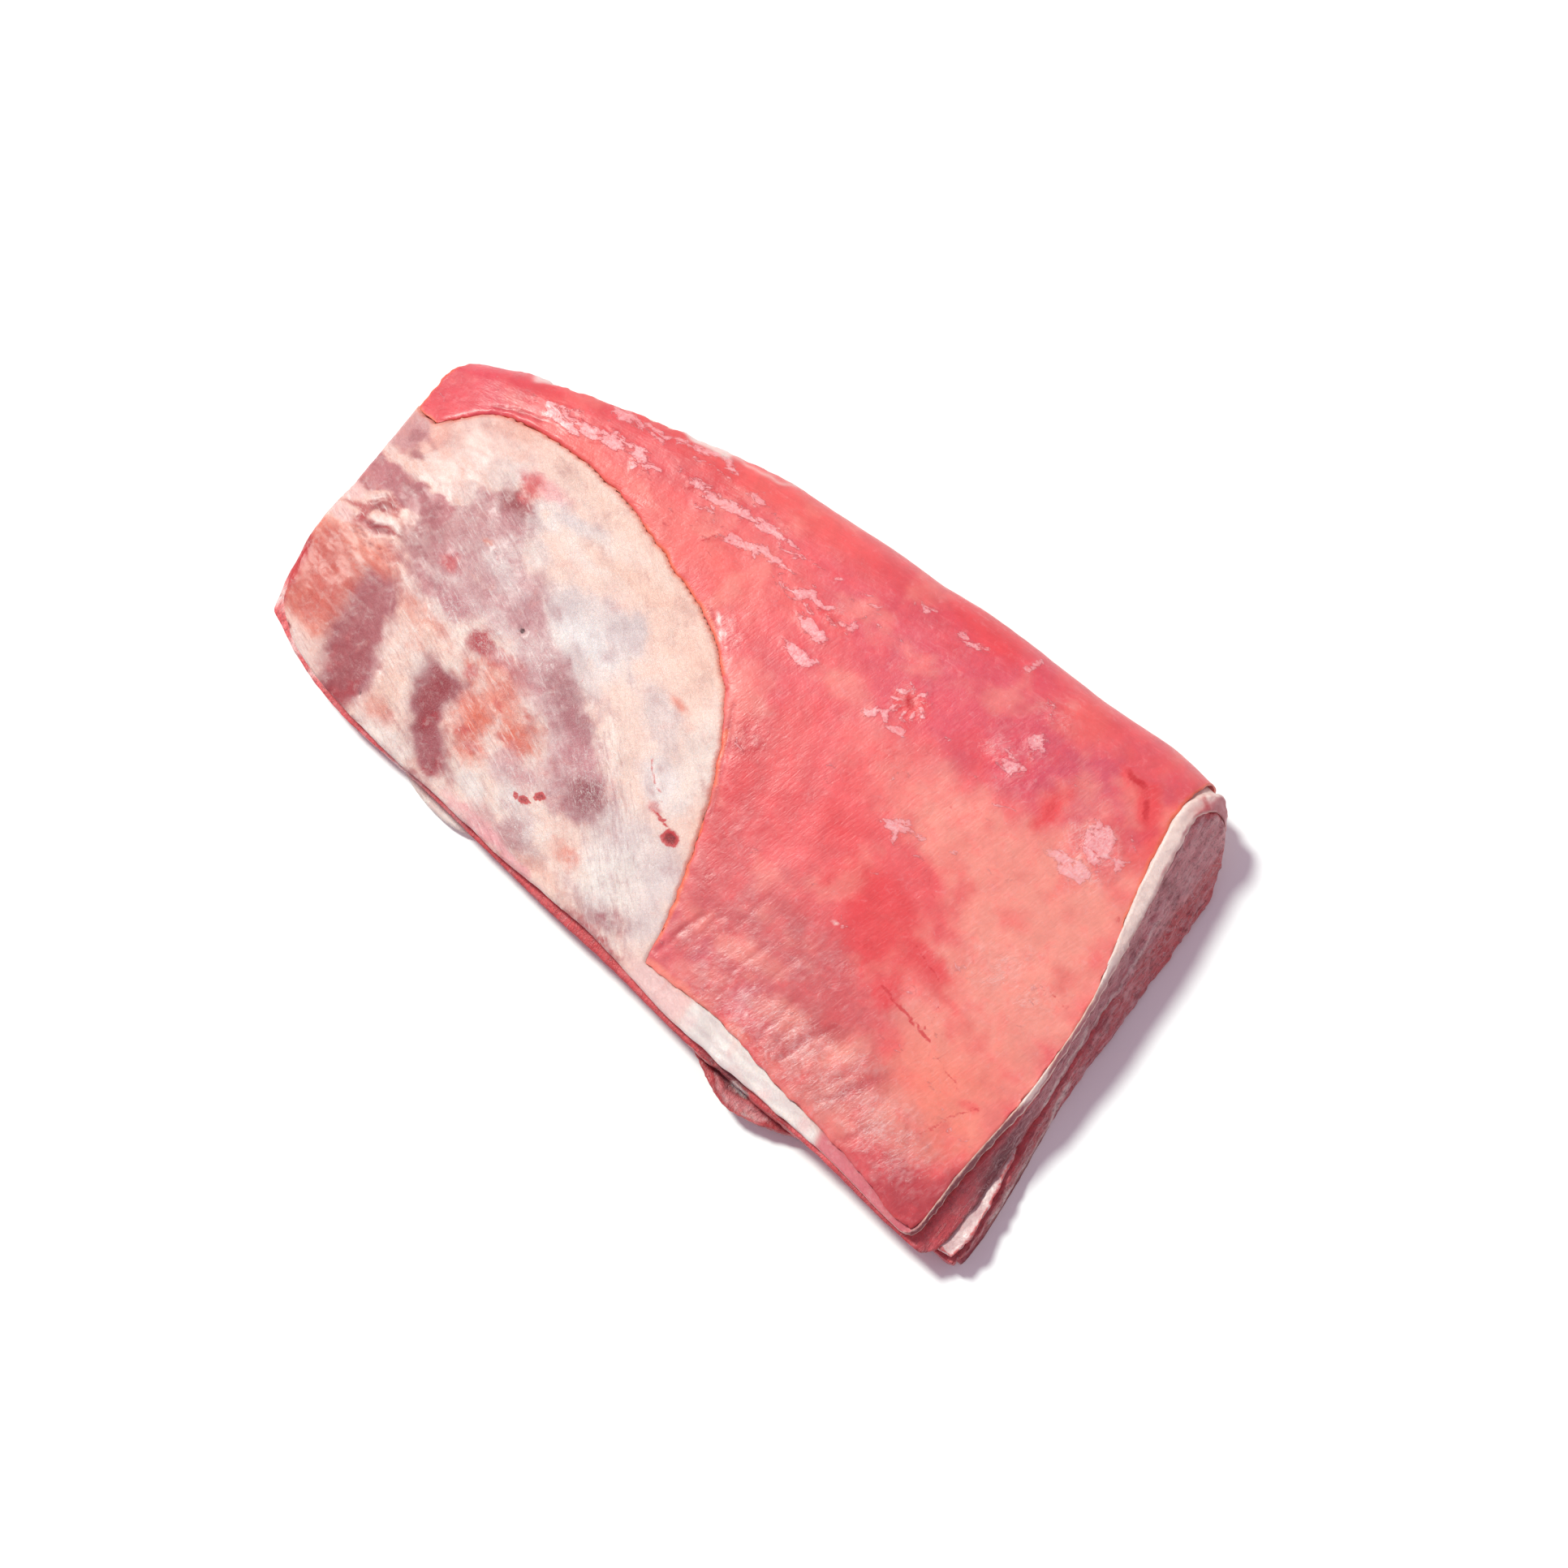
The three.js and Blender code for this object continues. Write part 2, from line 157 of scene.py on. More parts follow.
def strokes(spots, rows, grow=1.0):
    """Closeness to lines of rows (half width, strength, points)."""
    field = np.zeros(len(spots))
    for wide, strength, line in rows:
        near = np.clip(1 - line_distance(spots, line) / (wide * grow), 0, 1)
        field = np.maximum(field, strength * near)
    return field


def patch(spots, outline, soft):
    """1 inside an outline and 0 outside it, eased over the soft width."""
    outline = np.array(outline, float)
    inside = np.zeros(len(spots), bool)
    for a, b in zip(outline, np.roll(outline, -1, axis=0)):
        crosses = (a[1] > spots[:, 1]) != (b[1] > spots[:, 1])
        run = b[1] - a[1] if abs(b[1] - a[1]) > 1e-9 else 1e-9
        inside ^= crosses & (spots[:, 0] < (b[0] - a[0]) * (spots[:, 1] - a[1]) / run + a[0])
    away = line_distance(spots, list(outline) + [outline[0]])
    return smooth(np.where(inside, away, -away), -soft, soft)


class Coat:
    """The colours of a piece's points, laid one over another."""

    def __init__(self, points, base):
        self.colours = np.tile(np.array(base[:3]), (len(points), 1))

    def lay(self, colour, share):
        self.colours += np.clip(share, 0, 1)[:, None] * (np.array(colour[:3]) - self.colours)

    def ovals(self, spots, grain, rows):
        """Lays ovals of rows (colour, x, y, half length, half width, turn, strength), frayed by the grain."""
        for colour, x, y, long, wide, turn, strength in rows:
            u, v = turned(spots - (x, y), turn)
            self.lay(colour, strength * smooth(0.35 * grain - np.hypot(u / long, v / wide), -1.4, -0.4))

    def vary(self, amount):
        """Makes each point lighter by an amount, or darker where it is negative."""
        self.colours *= (1 + amount)[:, None]


# ---------------------------------------------------------------- meshes from the frame's solids

SHARP_ANGLE = math.radians(50)
ROUNDING_LEVEL = 2
MARK_SPACING = 0.8


def node_mesh(node):
    """A node's solid with its corners joined, still in metres."""
    bm = bmesh.new()
    bm.from_mesh(frame["nodes"][node].data)
    bmesh.ops.remove_doubles(bm, verts=bm.verts, dist=1e-6)
    return bm


def sharp_edges(bm):
    return [e for e in bm.edges if len(e.link_faces) == 2 and e.calc_face_angle(0) > SHARP_ANGLE]


def dense_copy(node, name, crease, finest, shows):
    """A finer copy of a node: rounded by subdivision, then split where it shows until edges are fine."""
    mesh = bpy.data.meshes.new(name)
    bm = node_mesh(node)
    for vert in bm.verts:
        vert.co /= MM
    bmesh.ops.join_triangles(bm, faces=bm.faces, angle_face_threshold=math.radians(60),
                             angle_shape_threshold=math.radians(150))
    layer = bm.edges.layers.float.new("crease_edge")
    for edge in sharp_edges(bm):
        edge[layer] = crease
    bm.to_mesh(mesh)
    bm.free()
    piece = bpy.data.objects.new(name, mesh)
    bpy.context.scene.collection.objects.link(piece)
    rounder = piece.modifiers.new("rounder", "SUBSURF")
    rounder.levels = rounder.render_levels = ROUNDING_LEVEL
    bpy.context.view_layer.update()
    rounded = piece.evaluated_get(bpy.context.evaluated_depsgraph_get())
    bm = bmesh.new()
    bm.from_mesh(bpy.data.meshes.new_from_object(rounded))
    piece.modifiers.clear()
    for share in (2.0, 1.0):
        bm.normal_update()
        long_edges = [e for e in bm.edges
                      if e.calc_length() > finest * share * 1.3 and any(shows(f) for f in e.link_faces)]
        bmesh.ops.subdivide_edges(bm, edges=long_edges, cuts=1, use_grid_fill=True)
    bm.normal_update()
    bm.to_mesh(mesh)
    bm.free()
    return piece


def points_of(piece, what="co"):
    """Each point's place, or its normal."""
    flat = np.zeros(len(piece.data.vertices) * 3)
    piece.data.vertices.foreach_get(what, flat)
    return flat.reshape(-1, 3)


def normals_of(piece):
    return points_of(piece, "normal")


def set_points(piece, points):
    piece.data.vertices.foreach_set("co", points.ravel())
    piece.data.update()


def nearest(marks, points):
    """Each point's distance from the nearest mark."""
    tree = KDTree(len(marks))
    for index, mark in enumerate(marks):
        tree.insert(mark, index)
    tree.balance()
    return np.array([tree.find(point)[2] for point in points])


def edge_distance(piece, node):
    """Each point's distance from the node's sharp edges."""
    bm = node_mesh(node)
    marks = []
    for edge in sharp_edges(bm):
        a, b = (v.co / MM for v in edge.verts)
        steps = max(1, int((b - a).length / MARK_SPACING))
        marks += [a.lerp(b, (k + 0.5) / steps) for k in range(steps)]
    bm.free()
    return nearest(marks, points_of(piece))


def push(piece, amounts, lift=0.0):
    """Moves each point out along its normal and up by its lift, and keeps the piece on or above the floor."""
    points = points_of(piece)
    near_floor = smooth(points[:, 2], 0.2, 2.5)
    points += normals_of(piece) * (amounts * near_floor)[:, None]
    points[:, 2] = np.maximum(points[:, 2] + lift, 0)
    set_points(piece, points)


def paint(piece, colours=None, **fields):
    """Stores a piece's colours and named fields, which its material reads."""
    if colours is not None:
        layer = piece.data.attributes.new("tint", "FLOAT_COLOR", "POINT")
        with_alpha = np.column_stack([colours, np.ones(len(colours))])
        layer.data.foreach_set("color", with_alpha.astype(np.float32).ravel())
    for name, values in fields.items():
        layer = piece.data.attributes.new(name, "FLOAT", "POINT")
        layer.data.foreach_set("value", values.astype(np.float32))


def shared_relief(points):
    """The slow swells that every layer follows, so none comes through the next."""
    return 0.45 * waves(points, 34, 1) + 0.25 * waves(points, 15, 2)


def finish_piece(piece, material, node):
    """Scales a piece to metres and puts it on the body in place of its node."""
    set_points(piece, points_of(piece) * MM)
    piece.data.materials.clear()
    piece.data.materials.append(material)
    piece.data.polygons.foreach_set("material_index", [0] * len(piece.data.polygons))
    piece.data.polygons.foreach_set("use_smooth", [True] * len(piece.data.polygons))
    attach(piece, BODY)
    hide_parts(node)


# ---------------------------------------------------------------- materials

SURFACE_SHARE = 0.86


def tone(red, green, blue):
    """The colour of a surface that shows as these screen values under the scene's light."""
    def linear(v):
        v /= 255
        return SURFACE_SHARE * (v / 12.92 if v <= 0.04045 else ((v + 0.055) / 1.055) ** 2.4)
    return (linear(red), linear(green), linear(blue), 1.0)


class Finish:
    """A material's nodes, put together with short calls. Sizes are in millimetres."""

    def __init__(self, name, base=None):
        """Starts from a plain base colour, or else from the colours painted on the piece."""
        self.material = bpy.data.materials.new(name)
        self.material.use_nodes = True
        self.tree = self.material.node_tree
        self.tree.nodes.clear()
        metres = self.put("ShaderNodeTexCoord", {}).outputs["Object"]
        self.spot = self.scaled(metres, (1 / MM, 1 / MM, 1 / MM))
        self.colour = base or self.put("ShaderNodeAttribute", {}, attribute_name="tint").outputs["Color"]

    def put(self, kind, inputs, **settings):
        """Adds a node and links or sets its inputs."""
        node = self.tree.nodes.new(kind)
        for key, value in settings.items():
            setattr(node, key, value)
        for key, value in inputs.items():
            if isinstance(value, bpy.types.NodeSocket):
                self.tree.links.new(value, node.inputs[key])
            else:
                node.inputs[key].default_value = value
        return node

    def scaled(self, vector, factors):
        return self.put("ShaderNodeVectorMath", {0: vector, 1: factors}, operation="MULTIPLY").outputs[0]

    def maths(self, operation, *values):
        return self.put("ShaderNodeMath", dict(enumerate(values)), operation=operation).outputs[0]

    def sum(self, *values):
        total = values[0]
        for value in values[1:]:
            total = self.maths("ADD", total, value)
        return total

    def times(self, a, b):
        return self.maths("MULTIPLY", a, b)

    def larger(self, a, b):
        return self.maths("MAXIMUM", a, b)

    def swing(self, value, amount):
        """Noise of 0 to 1 as a swing of so much either way."""
        return self.times(self.sum(value, -0.5), 2 * amount)

    def between(self, a, b, share):
        """The first value where the share is 0, and the second where it is 1."""
        return self.sum(self.times(b, share), self.times(a, self.sum(1.0, self.times(share, -1.0))))

    def ramp(self, value, low, high, start=0.0, end=1.0):
        """Start below low, end above high and eased between them."""
        node = self.put("ShaderNodeMapRange", {"Value": value, "From Min": low, "From Max": high,
                                               "To Min": start, "To Max": end},
                        interpolation_type="SMOOTHSTEP")
        return node.outputs[0]

    def mix(self, a, b, share):
        return self.put("ShaderNodeMix", {0: share, 6: a, 7: b}, data_type="RGBA").outputs[2]

    def lay(self, colour, share):
        """Lays a share of a colour over the material's own."""
        self.colour = self.mix(self.colour, colour, share)

    def shade(self, factor):
        """Makes the material's colour lighter or darker by a factor."""
        self.colour = self.put("ShaderNodeMix", {0: 1.0, 6: self.colour, 7: factor}, data_type="RGBA",
                               blend_type="MULTIPLY").outputs[2]

    def field(self, name):
        return self.put("ShaderNodeAttribute", {}, attribute_name=name).outputs["Fac"]

    def ragged(self, name, noise, amount):
        """A painted field with its edges made uneven by noise."""
        return self.sum(self.field(name), self.swing(noise, amount))

    def noise(self, size, detail=3.0, roughness=0.55, distortion=0.0, turn=0.0, stretch=1.0):
        """Noise of 0 to 1, which can be turned by degrees and drawn out into fibres."""
        where = self.spot
        if stretch != 1.0:
            where = self.put("ShaderNodeVectorRotate", {"Vector": where, "Angle": math.radians(-turn)},
                             rotation_type="Z_AXIS").outputs[0]
        where = self.scaled(where, (1 / (size * stretch), 1 / size, 1 / size))
        return self.put("ShaderNodeTexNoise", {"Vector": where, "Scale": 1.0, "Detail": detail,
                                               "Roughness": roughness, "Distortion": distortion}).outputs[0]

    def creases(self, size, turn=0.0, stretch=1.0, width=0.05, distortion=1.0, detail=2.0):
        """1 on thin winding lines and 0 between them."""
        value = self.noise(size, detail, 0.5, distortion, turn, stretch)
        return self.ramp(self.maths("ABSOLUTE", self.sum(value, -0.5)), 0.0, width, 1.0, 0.0)

    def close(self, height, roughness, depth, bump, **constants):
        """Joins colour, relief and roughness in the shader, and gives the material."""
        bumped = self.put("ShaderNodeBump", {"Height": height, "Strength": bump, "Distance": depth * MM})
        shader = self.put("ShaderNodeBsdfPrincipled", {"Base Color": self.colour, "Roughness": roughness,
                                                       "Normal": bumped.outputs[0]})
        for key, value in constants.items():
            shader.inputs[key.replace("_", " ")].default_value = value
        self.put("ShaderNodeOutputMaterial", {"Surface": shader.outputs[0]})
        return self.material


FLESH_GLOW = {"Subsurface_Weight": 0.25, "Subsurface_Radius": (1.0, 0.35, 0.25), "Subsurface_Scale": 0.0012,
              "Specular_IOR_Level": 0.4, "Coat_Weight": 0.1, "Coat_Roughness": 0.2}
FAT_GLOW = {"Subsurface_Weight": 0.3, "Subsurface_Radius": (1.0, 0.7, 0.55), "Subsurface_Scale": 0.0014,
            "Specular_IOR_Level": 0.33, "Coat_Weight": 0.07, "Coat_Roughness": 0.2}

SALMON = tone(241, 100, 104)
CORAL = tone(247, 110, 103)
PINK_RED = tone(230, 87, 102)
CRIMSON = tone(240, 82, 87)
ROSE = tone(222, 82, 108)
DUSKY_ROSE = tone(213, 86, 107)
ARC_RED = tone(218, 72, 79)
ORANGE = tone(253, 160, 145)
DEEP_ORANGE = tone(251, 144, 126)
MAUVE_PINK = tone(212, 104, 107)
TAN_PINK = tone(221, 124, 117)
CORNER_RED = tone(196, 74, 82)
FILM_PINK = tone(250, 176, 180)
FILM_WARM = tone(244, 180, 176)
# White of pale films, also used for the skin's painted glints and sheen.
FILM_AND_GLINT_WHITE = tone(253, 220, 218)
BLOOD = tone(206, 38, 48)
VEIN_RED = tone(216, 58, 64)
# Orange of the skin's cut edge, laid bright so that it also paints light over the shade on the edge's underside.
EDGE_ORANGE = tone(253, 124, 84)
STRIP_PINK = tone(242, 196, 196)

CREAM = tone(254, 219, 206)
WARM_CREAM = tone(252, 206, 188)
PALE_CREAM = tone(253, 236, 228)
# White of fat, also used for painted glints on the tongue and on the lobe's glossy patches.
FAT_AND_GLINT_WHITE = tone(252, 240, 234)
END_CREAM = tone(248, 222, 214)
# The inner fat's white, darkened with painted shade, as the wedge lies partly in shadow.
SHADED_WEDGE_WHITE = (0.69, 0.49, 0.48, 1.0)
LILAC_WHITE = tone(246, 233, 231)
LILAC = tone(230, 210, 209)
MAUVE_GREY = tone(219, 170, 172)
MAUVE_ROSE = tone(207, 137, 144)
PLUM = tone(181, 112, 119)
DEEP_PLUM = tone(160, 84, 93)
RIB_DARK = tone(160, 58, 68)
RIB_RED = tone(190, 58, 68)
HOT_RED = tone(214, 52, 62)
PEACH = tone(252, 198, 178)
CORAL_FAT = tone(236, 137, 118)
CORAL_END = tone(212, 100, 90)
ORANGE_FAT = tone(236, 118, 94)
# Dark red of blood clots, also laid in the lobe's pits as painted shade.
DARK_SPOT = tone(70, 26, 32)

LEAN_MAUVE = tone(218, 139, 143)
LEAN_PLUM = tone(192, 108, 117)
LEAN_DARK = tone(147, 70, 78)
LEAN_RED = tone(208, 76, 80)
LEAN_ROSE = tone(240, 104, 108)
LEAN_ROSY = tone(234, 152, 154)
LEAN_PALE = tone(226, 176, 178)
LEAN_DEEP = tone(124, 54, 62)
TONGUE_RED = tone(168, 52, 60)


# ---------------------------------------------------------------- the skin muscle

SKIN_WASHES = [
    (ROSE, 55, 62, 80, 26, 0, 0.6), (DUSKY_ROSE, 95, 66, 26, 20, 0, 0.7), (CORAL, -80, 48, 46, 10, -4, 0.8),
    (CORAL, -25, 48, 36, 16, -10, 0.5), (PINK_RED, -138, 46, 16, 16, 30, 0.9),
    (CORAL, -60, 76, 60, 7, 8, 0.5), (PINK_RED, 0, 30, 26, 18, -30, 0.5), (ORANGE, 110, 8, 30, 46, 0, 1.0),
    (ORANGE, 84, 29, 26, 16, 0, 0.8), (ORANGE, 52, 30, 28, 12, 0, 0.4), (DEEP_ORANGE, 112, -40, 22, 20, 0, 1.0),
    (ORANGE, 100, -26, 18, 12, 0, 0.6), (MAUVE_PINK, 42, -44, 34, 28, 0, 0.85),
    (TAN_PINK, 82, -58, 34, 16, 0, 0.9), (MAUVE_PINK, 70, -38, 24, 14, 0, 0.6),
    (MAUVE_PINK, 12, -22, 9, 34, 24, 0.5), (DUSKY_ROSE, 24, -56, 10, 14, 0, 0.7),
    (ARC_RED, 4, -4, 8, 34, 24, 0.75), (ARC_RED, 18, 0, 14, 14, 0, 0.4), (DUSKY_ROSE, 52, -57, 12, 10, 0, 0.5),
    (TAN_PINK, 78, -52, 14, 9, 30, 0.6), (CRIMSON, 60, -5, 17, 8, -10, 0.95),
    (CRIMSON, 68, -16, 14, 8, -25, 0.75), (CRIMSON, 86, -14, 16, 6, -8, 0.6), (CRIMSON, 82, -27, 5, 6, 0, 0.6),
    (CRIMSON, 40, 6, 9, 6, 0, 0.6), (CRIMSON, 108, 68, 13, 7, -35, 0.85), (CRIMSON, 86, 52, 4, 9, 0, 0.8),
    (CRIMSON, 36, 84, 16, 5, 0, 0.6), (CRIMSON, -120, 58, 24, 4, 22, 0.35), (CRIMSON, -3, 55, 6, 4, 0, 0.7),
    (CRIMSON, 32, 49, 5, 5, 0, 0.9), (ARC_RED, -62, 66, 20, 8, 8, 0.35), (CRIMSON, 106, 56, 12, 5, -20, 0.4),
    (ARC_RED, 2, 18, 9, 12, -30, 0.5), (CRIMSON, -140, 38, 8, 10, 0, 0.35),
    (CORNER_RED, 122, -71, 20, 9, 4, 0.8),
    (CORNER_RED, 132, -66, 5, 12, 0, 0.7), (ARC_RED, 46, -64, 30, 3, 0, 0.4), (CORAL, 92, 79, 24, 7, 0, 0.3),
    (CORAL, 78, 78, 12, 8, 0, 0.6), (CORAL, 118, 66, 4, 16, -4, 0.8), (TAN_PINK, 104, -54, 12, 8, -20, 0.5),
    (DEEP_ORANGE, 30, -66, 40, 2.4, 0, 0.8), (ARC_RED, 66, -67, 8, 4, 0, 0.6), (CORAL, -30, 76, 40, 6, 2, 0.4),
    (ARC_RED, 20, 76, 30, 8, 0, 0.3), (CORAL, 10, 20, 10, 14, 20, 0.3),
]
SKIN_PATCHES = [
    (CRIMSON, 62, -2, 13, 5, -8, 0.9), (CRIMSON, 66, -10, 9, 7, -30, 0.7), (CRIMSON, 71, -18, 6, 6, 0, 0.8),
    (CRIMSON, 84, -12, 12, 3.6, -10, 0.8), (CRIMSON, 82, -27, 4, 4.4, 0, 0.8),
    (CRIMSON, 98, -18, 10, 2.6, -8, 0.5), (CRIMSON, 40, 4, 7, 4.4, -10, 0.7),
    (CRIMSON, 47, -10, 2, 3, 0, 0.7), (CRIMSON, 86.5, 50, 3.4, 7.5, 0, 0.85),
    (CRIMSON, 110, 66, 4, 9, 32, 0.85), (CRIMSON, 102, 72, 9, 2.4, -8, 0.8), (CRIMSON, 32, 49, 5, 4.6, 0, 0.95),
    (CRIMSON, -3, 55, 5, 3.4, 0, 0.8), (CRIMSON, 38, 83, 14, 5, 0, 0.6), (CRIMSON, 4, -2, 5, 8, 20, 0.4),
    (CORNER_RED, 24, -54, 7, 5, 60, 0.5), (CORNER_RED, 70, -54, 2.4, 9, -14, 0.5),
    (CORNER_RED, 93, -56, 2.6, 9, -22, 0.5), (CORNER_RED, 76, -46, 12, 3, 20, 0.4),
    (ORANGE, 40, -44, 12, 4, 10, 0.5), (ORANGE, 60, -52, 10, 4, 20, 0.5), (ORANGE, 82, -50, 9, 4, 60, 0.7),
    (ORANGE, 104, -52, 10, 5, 60, 0.5), (CORNER_RED, 128, -74, 14, 5, 0, 0.9),
    (CRIMSON, 122, -38, 4, 2, 20, 0.5), (ORANGE, 12, 40, 9, 6, 0, 0.4), (ORANGE, -86, 50, 16, 2.4, -2, 0.7),
    (CRIMSON, -98, 60, 12, 2.4, 12, 0.5), (ORANGE, 70, 20, 10, 7, 0, 0.5), (CORAL, -92, 49, 18, 4, -2, 1.0),
]
SKIN_FASCIA = [
    (2.0, 0.9, [(-116, 53), (-104, 56), (-92, 59.5), (-80, 58)]), (1.8, 0.9, [(-84, 57), (-83, 55)]),
    (2.0, 0.8, [(-115, 57), (-108, 59)]), (1.6, 0.7, [(-97, 61), (-80, 61)]),
    (1.8, 0.9, [(-100, 66), (-92, 68), (-84, 69)]), (1.6, 0.8, [(-78, 71), (-66, 74), (-56, 75)]),
    (1.2, 0.7, [(-70, 69.5), (-56, 72)]), (2.6, 0.9, [(-66, 63), (-56, 64), (-48, 66), (-34, 67)]),
    (2.2, 0.8, [(-60, 58), (-54, 60)]), (1.8, 0.7, [(-72, 63), (-60, 66)]),
    (2.4, 0.8, [(-48, 55), (-40, 56), (-30, 58)]), (1.6, 0.7, [(-52, 50), (-48, 55)]),
    (1.8, 0.8, [(-18, 66), (-10, 67.5)]), (1.4, 0.6, [(-45, 70), (-32, 71)]),
    (1.6, 0.6, [(-30, 60), (-14, 60)]), (2.2, 0.7, [(-18, 55), (-10, 53), (3, 56)]),
    (1.8, 0.65, [(-12, 50), (0, 48)]), (2.4, 0.75, [(-11, 41), (-5, 38), (1, 41)]),
    (1.4, 0.6, [(-5, 58), (4, 62)]), (1.2, 0.7, [(2, 66), (7, 68)]),
    (1.8, 0.8, [(15, 75), (20, 77)]), (2.0, 0.85, [(30, 76), (35, 75), (40, 77.5)]),
    (1.8, 0.85, [(51, 79), (54, 82), (55, 85)]), (1.8, 0.8, [(23, 38), (27, 40), (29, 43)]),
    (2.2, 0.7, [(33, 39), (34, 43)]), (2.2, 0.8, [(48, 15), (53, 17), (60, 17)]),
    (1.6, 0.75, [(52, 15), (55, 12)]), (1.6, 0.5, [(-5, 10), (0, 5), (4, 9)]), (1.4, 0.5, [(22, 20), (27, 18)]),
    (2.4, 0.65, [(63, 56), (68, 55), (71, 51)]), (2.6, 0.6, [(72, 66), (69, 62), (74, 56)]),
    (2.4, 0.6, [(66, 76), (70, 70)]), (2.8, 0.65, [(99, 50), (104, 47), (109, 44)]),
    (2.2, 0.65, [(93, 38), (99, 39), (104, 41)]), (2.2, 0.6, [(101, 35), (108, 36)]),
    (2.0, 0.6, [(96, 53), (103, 56)]), (1.8, 0.6, [(72, 20), (71, 19)]), (2.2, 0.5, [(92, -8), (100, -6)]),
    (2.2, 0.5, [(70, 35), (74, 33)]), (2.0, 0.55, [(112, 42), (118, 40)]), (1.6, 0.55, [(85, 62), (92, 64)]),
    (1.2, 0.7, [(112, 58), (118, 52)]),
]
SKIN_FILMS = [
    [(-118, 51.5), (-112, 53.5), (-104, 55.5), (-98, 57), (-94, 59.5), (-92, 61.5), (-84, 63), (-81, 61),
     (-75, 61), (-75, 58.5), (-80, 58), (-83, 54.5), (-85, 57), (-90, 57), (-97, 54.5),
     (-101, 52.5), (-108, 51.5)],
    [(-119, 56), (-113, 59), (-109, 60), (-110, 56), (-113, 54), (-118, 54)],
    [(-103, 66), (-95, 68), (-86, 70), (-80, 70.5), (-81, 67), (-88, 67), (-96, 65)],
    [(-80, 72), (-70, 75), (-60, 77), (-55, 76), (-62, 74), (-70, 72.5), (-76, 71)],
    [(-62, 62), (-54, 66), (-44, 66), (-34, 68), (-24, 67), (-34, 65), (-44, 63), (-56, 61)],
    [(-48, 55), (-46, 58), (-38, 60), (-28, 61.5), (-22, 60), (-30, 58), (-38, 56), (-44, 53)],
    [(-34, 64.5), (-22, 66), (-12, 68), (-11, 66), (-20, 64.5), (-30, 63)],
    [(-56, 71), (-46, 73), (-36, 72), (-44, 70)],
    [(-19, 57), (-14, 60), (-8, 58), (-6, 60), (-4, 58), (-8, 54), (-12, 56), (-18, 53)],
    [(-15, 51), (-8, 52), (-2, 50), (0, 47), (-8, 46)],
    [(-12, 42), (-6, 43), (2, 41), (1, 38), (-5, 36), (-8, 38)],
    [(2, 60), (4, 58), (6, 55), (2, 54)], [(98, 53), (104, 57), (108, 54), (110, 47), (106, 43), (100, 45)],
    [(93, 41), (99, 42), (102, 40), (106, 42), (110, 39), (104, 34), (98, 36)],
    [(110, 49), (116, 52), (114, 43)], [(62, 51), (68, 55), (74, 55), (70, 50)],
    [(66, 63), (70, 67), (75, 62), (70, 60)],
    [(48, 17), (53, 19.5), (60, 18), (56, 15), (57, 11), (53, 13), (50, 13)],
    [(22, 37), (24, 41), (28, 43), (31, 40), (36, 43), (37, 39), (32, 37), (27, 39)],
    [(29, 75), (33, 76.5), (40, 78), (38, 74.5), (32, 73.5)], [(51, 78), (53, 84), (55.5, 84), (54.5, 79)],
    [(13, 74), (17, 77), (21, 77), (18, 74)], [(1, 65), (7, 69), (6, 66)],
]
SKIN_BURST = (32, 49)
SKIN_DEPTH = (0.99, 0.94, 0.94)
# Painted shade: how much the skin's colour is darkened towards the left end, where it faces the key light.
SKIN_PAINTED_SHADE = np.array([0.08, 0.2, 0.16])
SKIN_PALE_EDGE = [
    (3.2, 1.0, [(-126, 61.5), (-112, 67), (-96, 72), (-80, 75.5), (-62, 78)]),
    (2.0, 0.5, [(-62, 79), (-40, 82)]),
]
WHITE_FLECKS = [(57.5, -20, 0.9, 0.7, 0, 1.0), (-31, 33.5, 2.6, 0.6, -35, 0.9), (-27, 29.5, 2.0, 0.5, -50, 0.8)]
# Zones of milky haze on the skin, which also gate the skin's painted sheen: glints, glint flecks and glinting
# threads.
SKIN_HAZE_AND_SHEEN = [
    (75, -58, 52, 13, 0, 1.0), (36, -46, 20, 20, 0, 0.55), (60, -34, 30, 12, 0, 0.5),
    (112, -62, 20, 14, 0, 0.85), (-122, 51, 12, 5, 15, 0.15), (108, 0, 20, 14, 0, 0.5),
    (68, 56, 14, 14, 0, 0.65), (103, 46, 14, 14, 0, 0.8), (0, 10, 8, 10, 0, 0.5),
 (-2, 56, 8, 6, 0, 0.5), (32, 49, 9, 9, 0, 0.6), (-138, 45, 10, 8, 0, 0.15),
    (20, -24, 8, 26, 10, 0.4), (-27, 32, 9, 6, -40, 0.7), (50, 30, 40, 14, 0, 0.22), (94, -8, 12, 6, 10, 0.5),
    (24, -46, 5, 12, 0, 0.6), (-124, 62, 20, 3, 20, 0.4), (70, 72, 10, 12, 0, 0.5), (55, 15, 8, 6, 0, 0.4),
    (30, 66, 12, 8, 0, 0.3), (-50, 70, 40, 6, 6, 0.35), (90, -24, 16, 6, 0, 0.4), (-72, 48, 6, 3, 0, 0.6),
]
SKIN_BLOOD = [
    (32, 49, 2.4, 2.0, 0, 1.0), (-3, 55, 2.4, 1.6, 0, 0.7), (-63.5, 47.2, 1.5, 1.0, 20, 1.0),
    (101, 72.5, 4.6, 1.8, -8, 0.9), (109.5, 67, 2.0, 5.0, 35, 0.8), (38, 83, 5, 2.5, 0, 0.3),
    (40, 5, 3, 2, 0, 0.35), (68, -19, 3, 3.2, 0, 0.5), (47.5, -11, 1.2, 1.5, 0, 0.6), (83, -29, 2, 2, 0, 0.5),
    (127, 3, 1.4, 1.4, 0, 0.6), (123, 34, 1.4, 1.2, 0, 0.6), (-15, 17, 1.3, 2.2, -20, 0.7),
    (-33, 32, 5.5, 1.5, -38, 0.75), (97, -26, 0.8, 3, 0, 0.4), (62, -2, 7, 3, 0, 0.4), (86, 50, 2.0, 6, 0, 0.5),
]
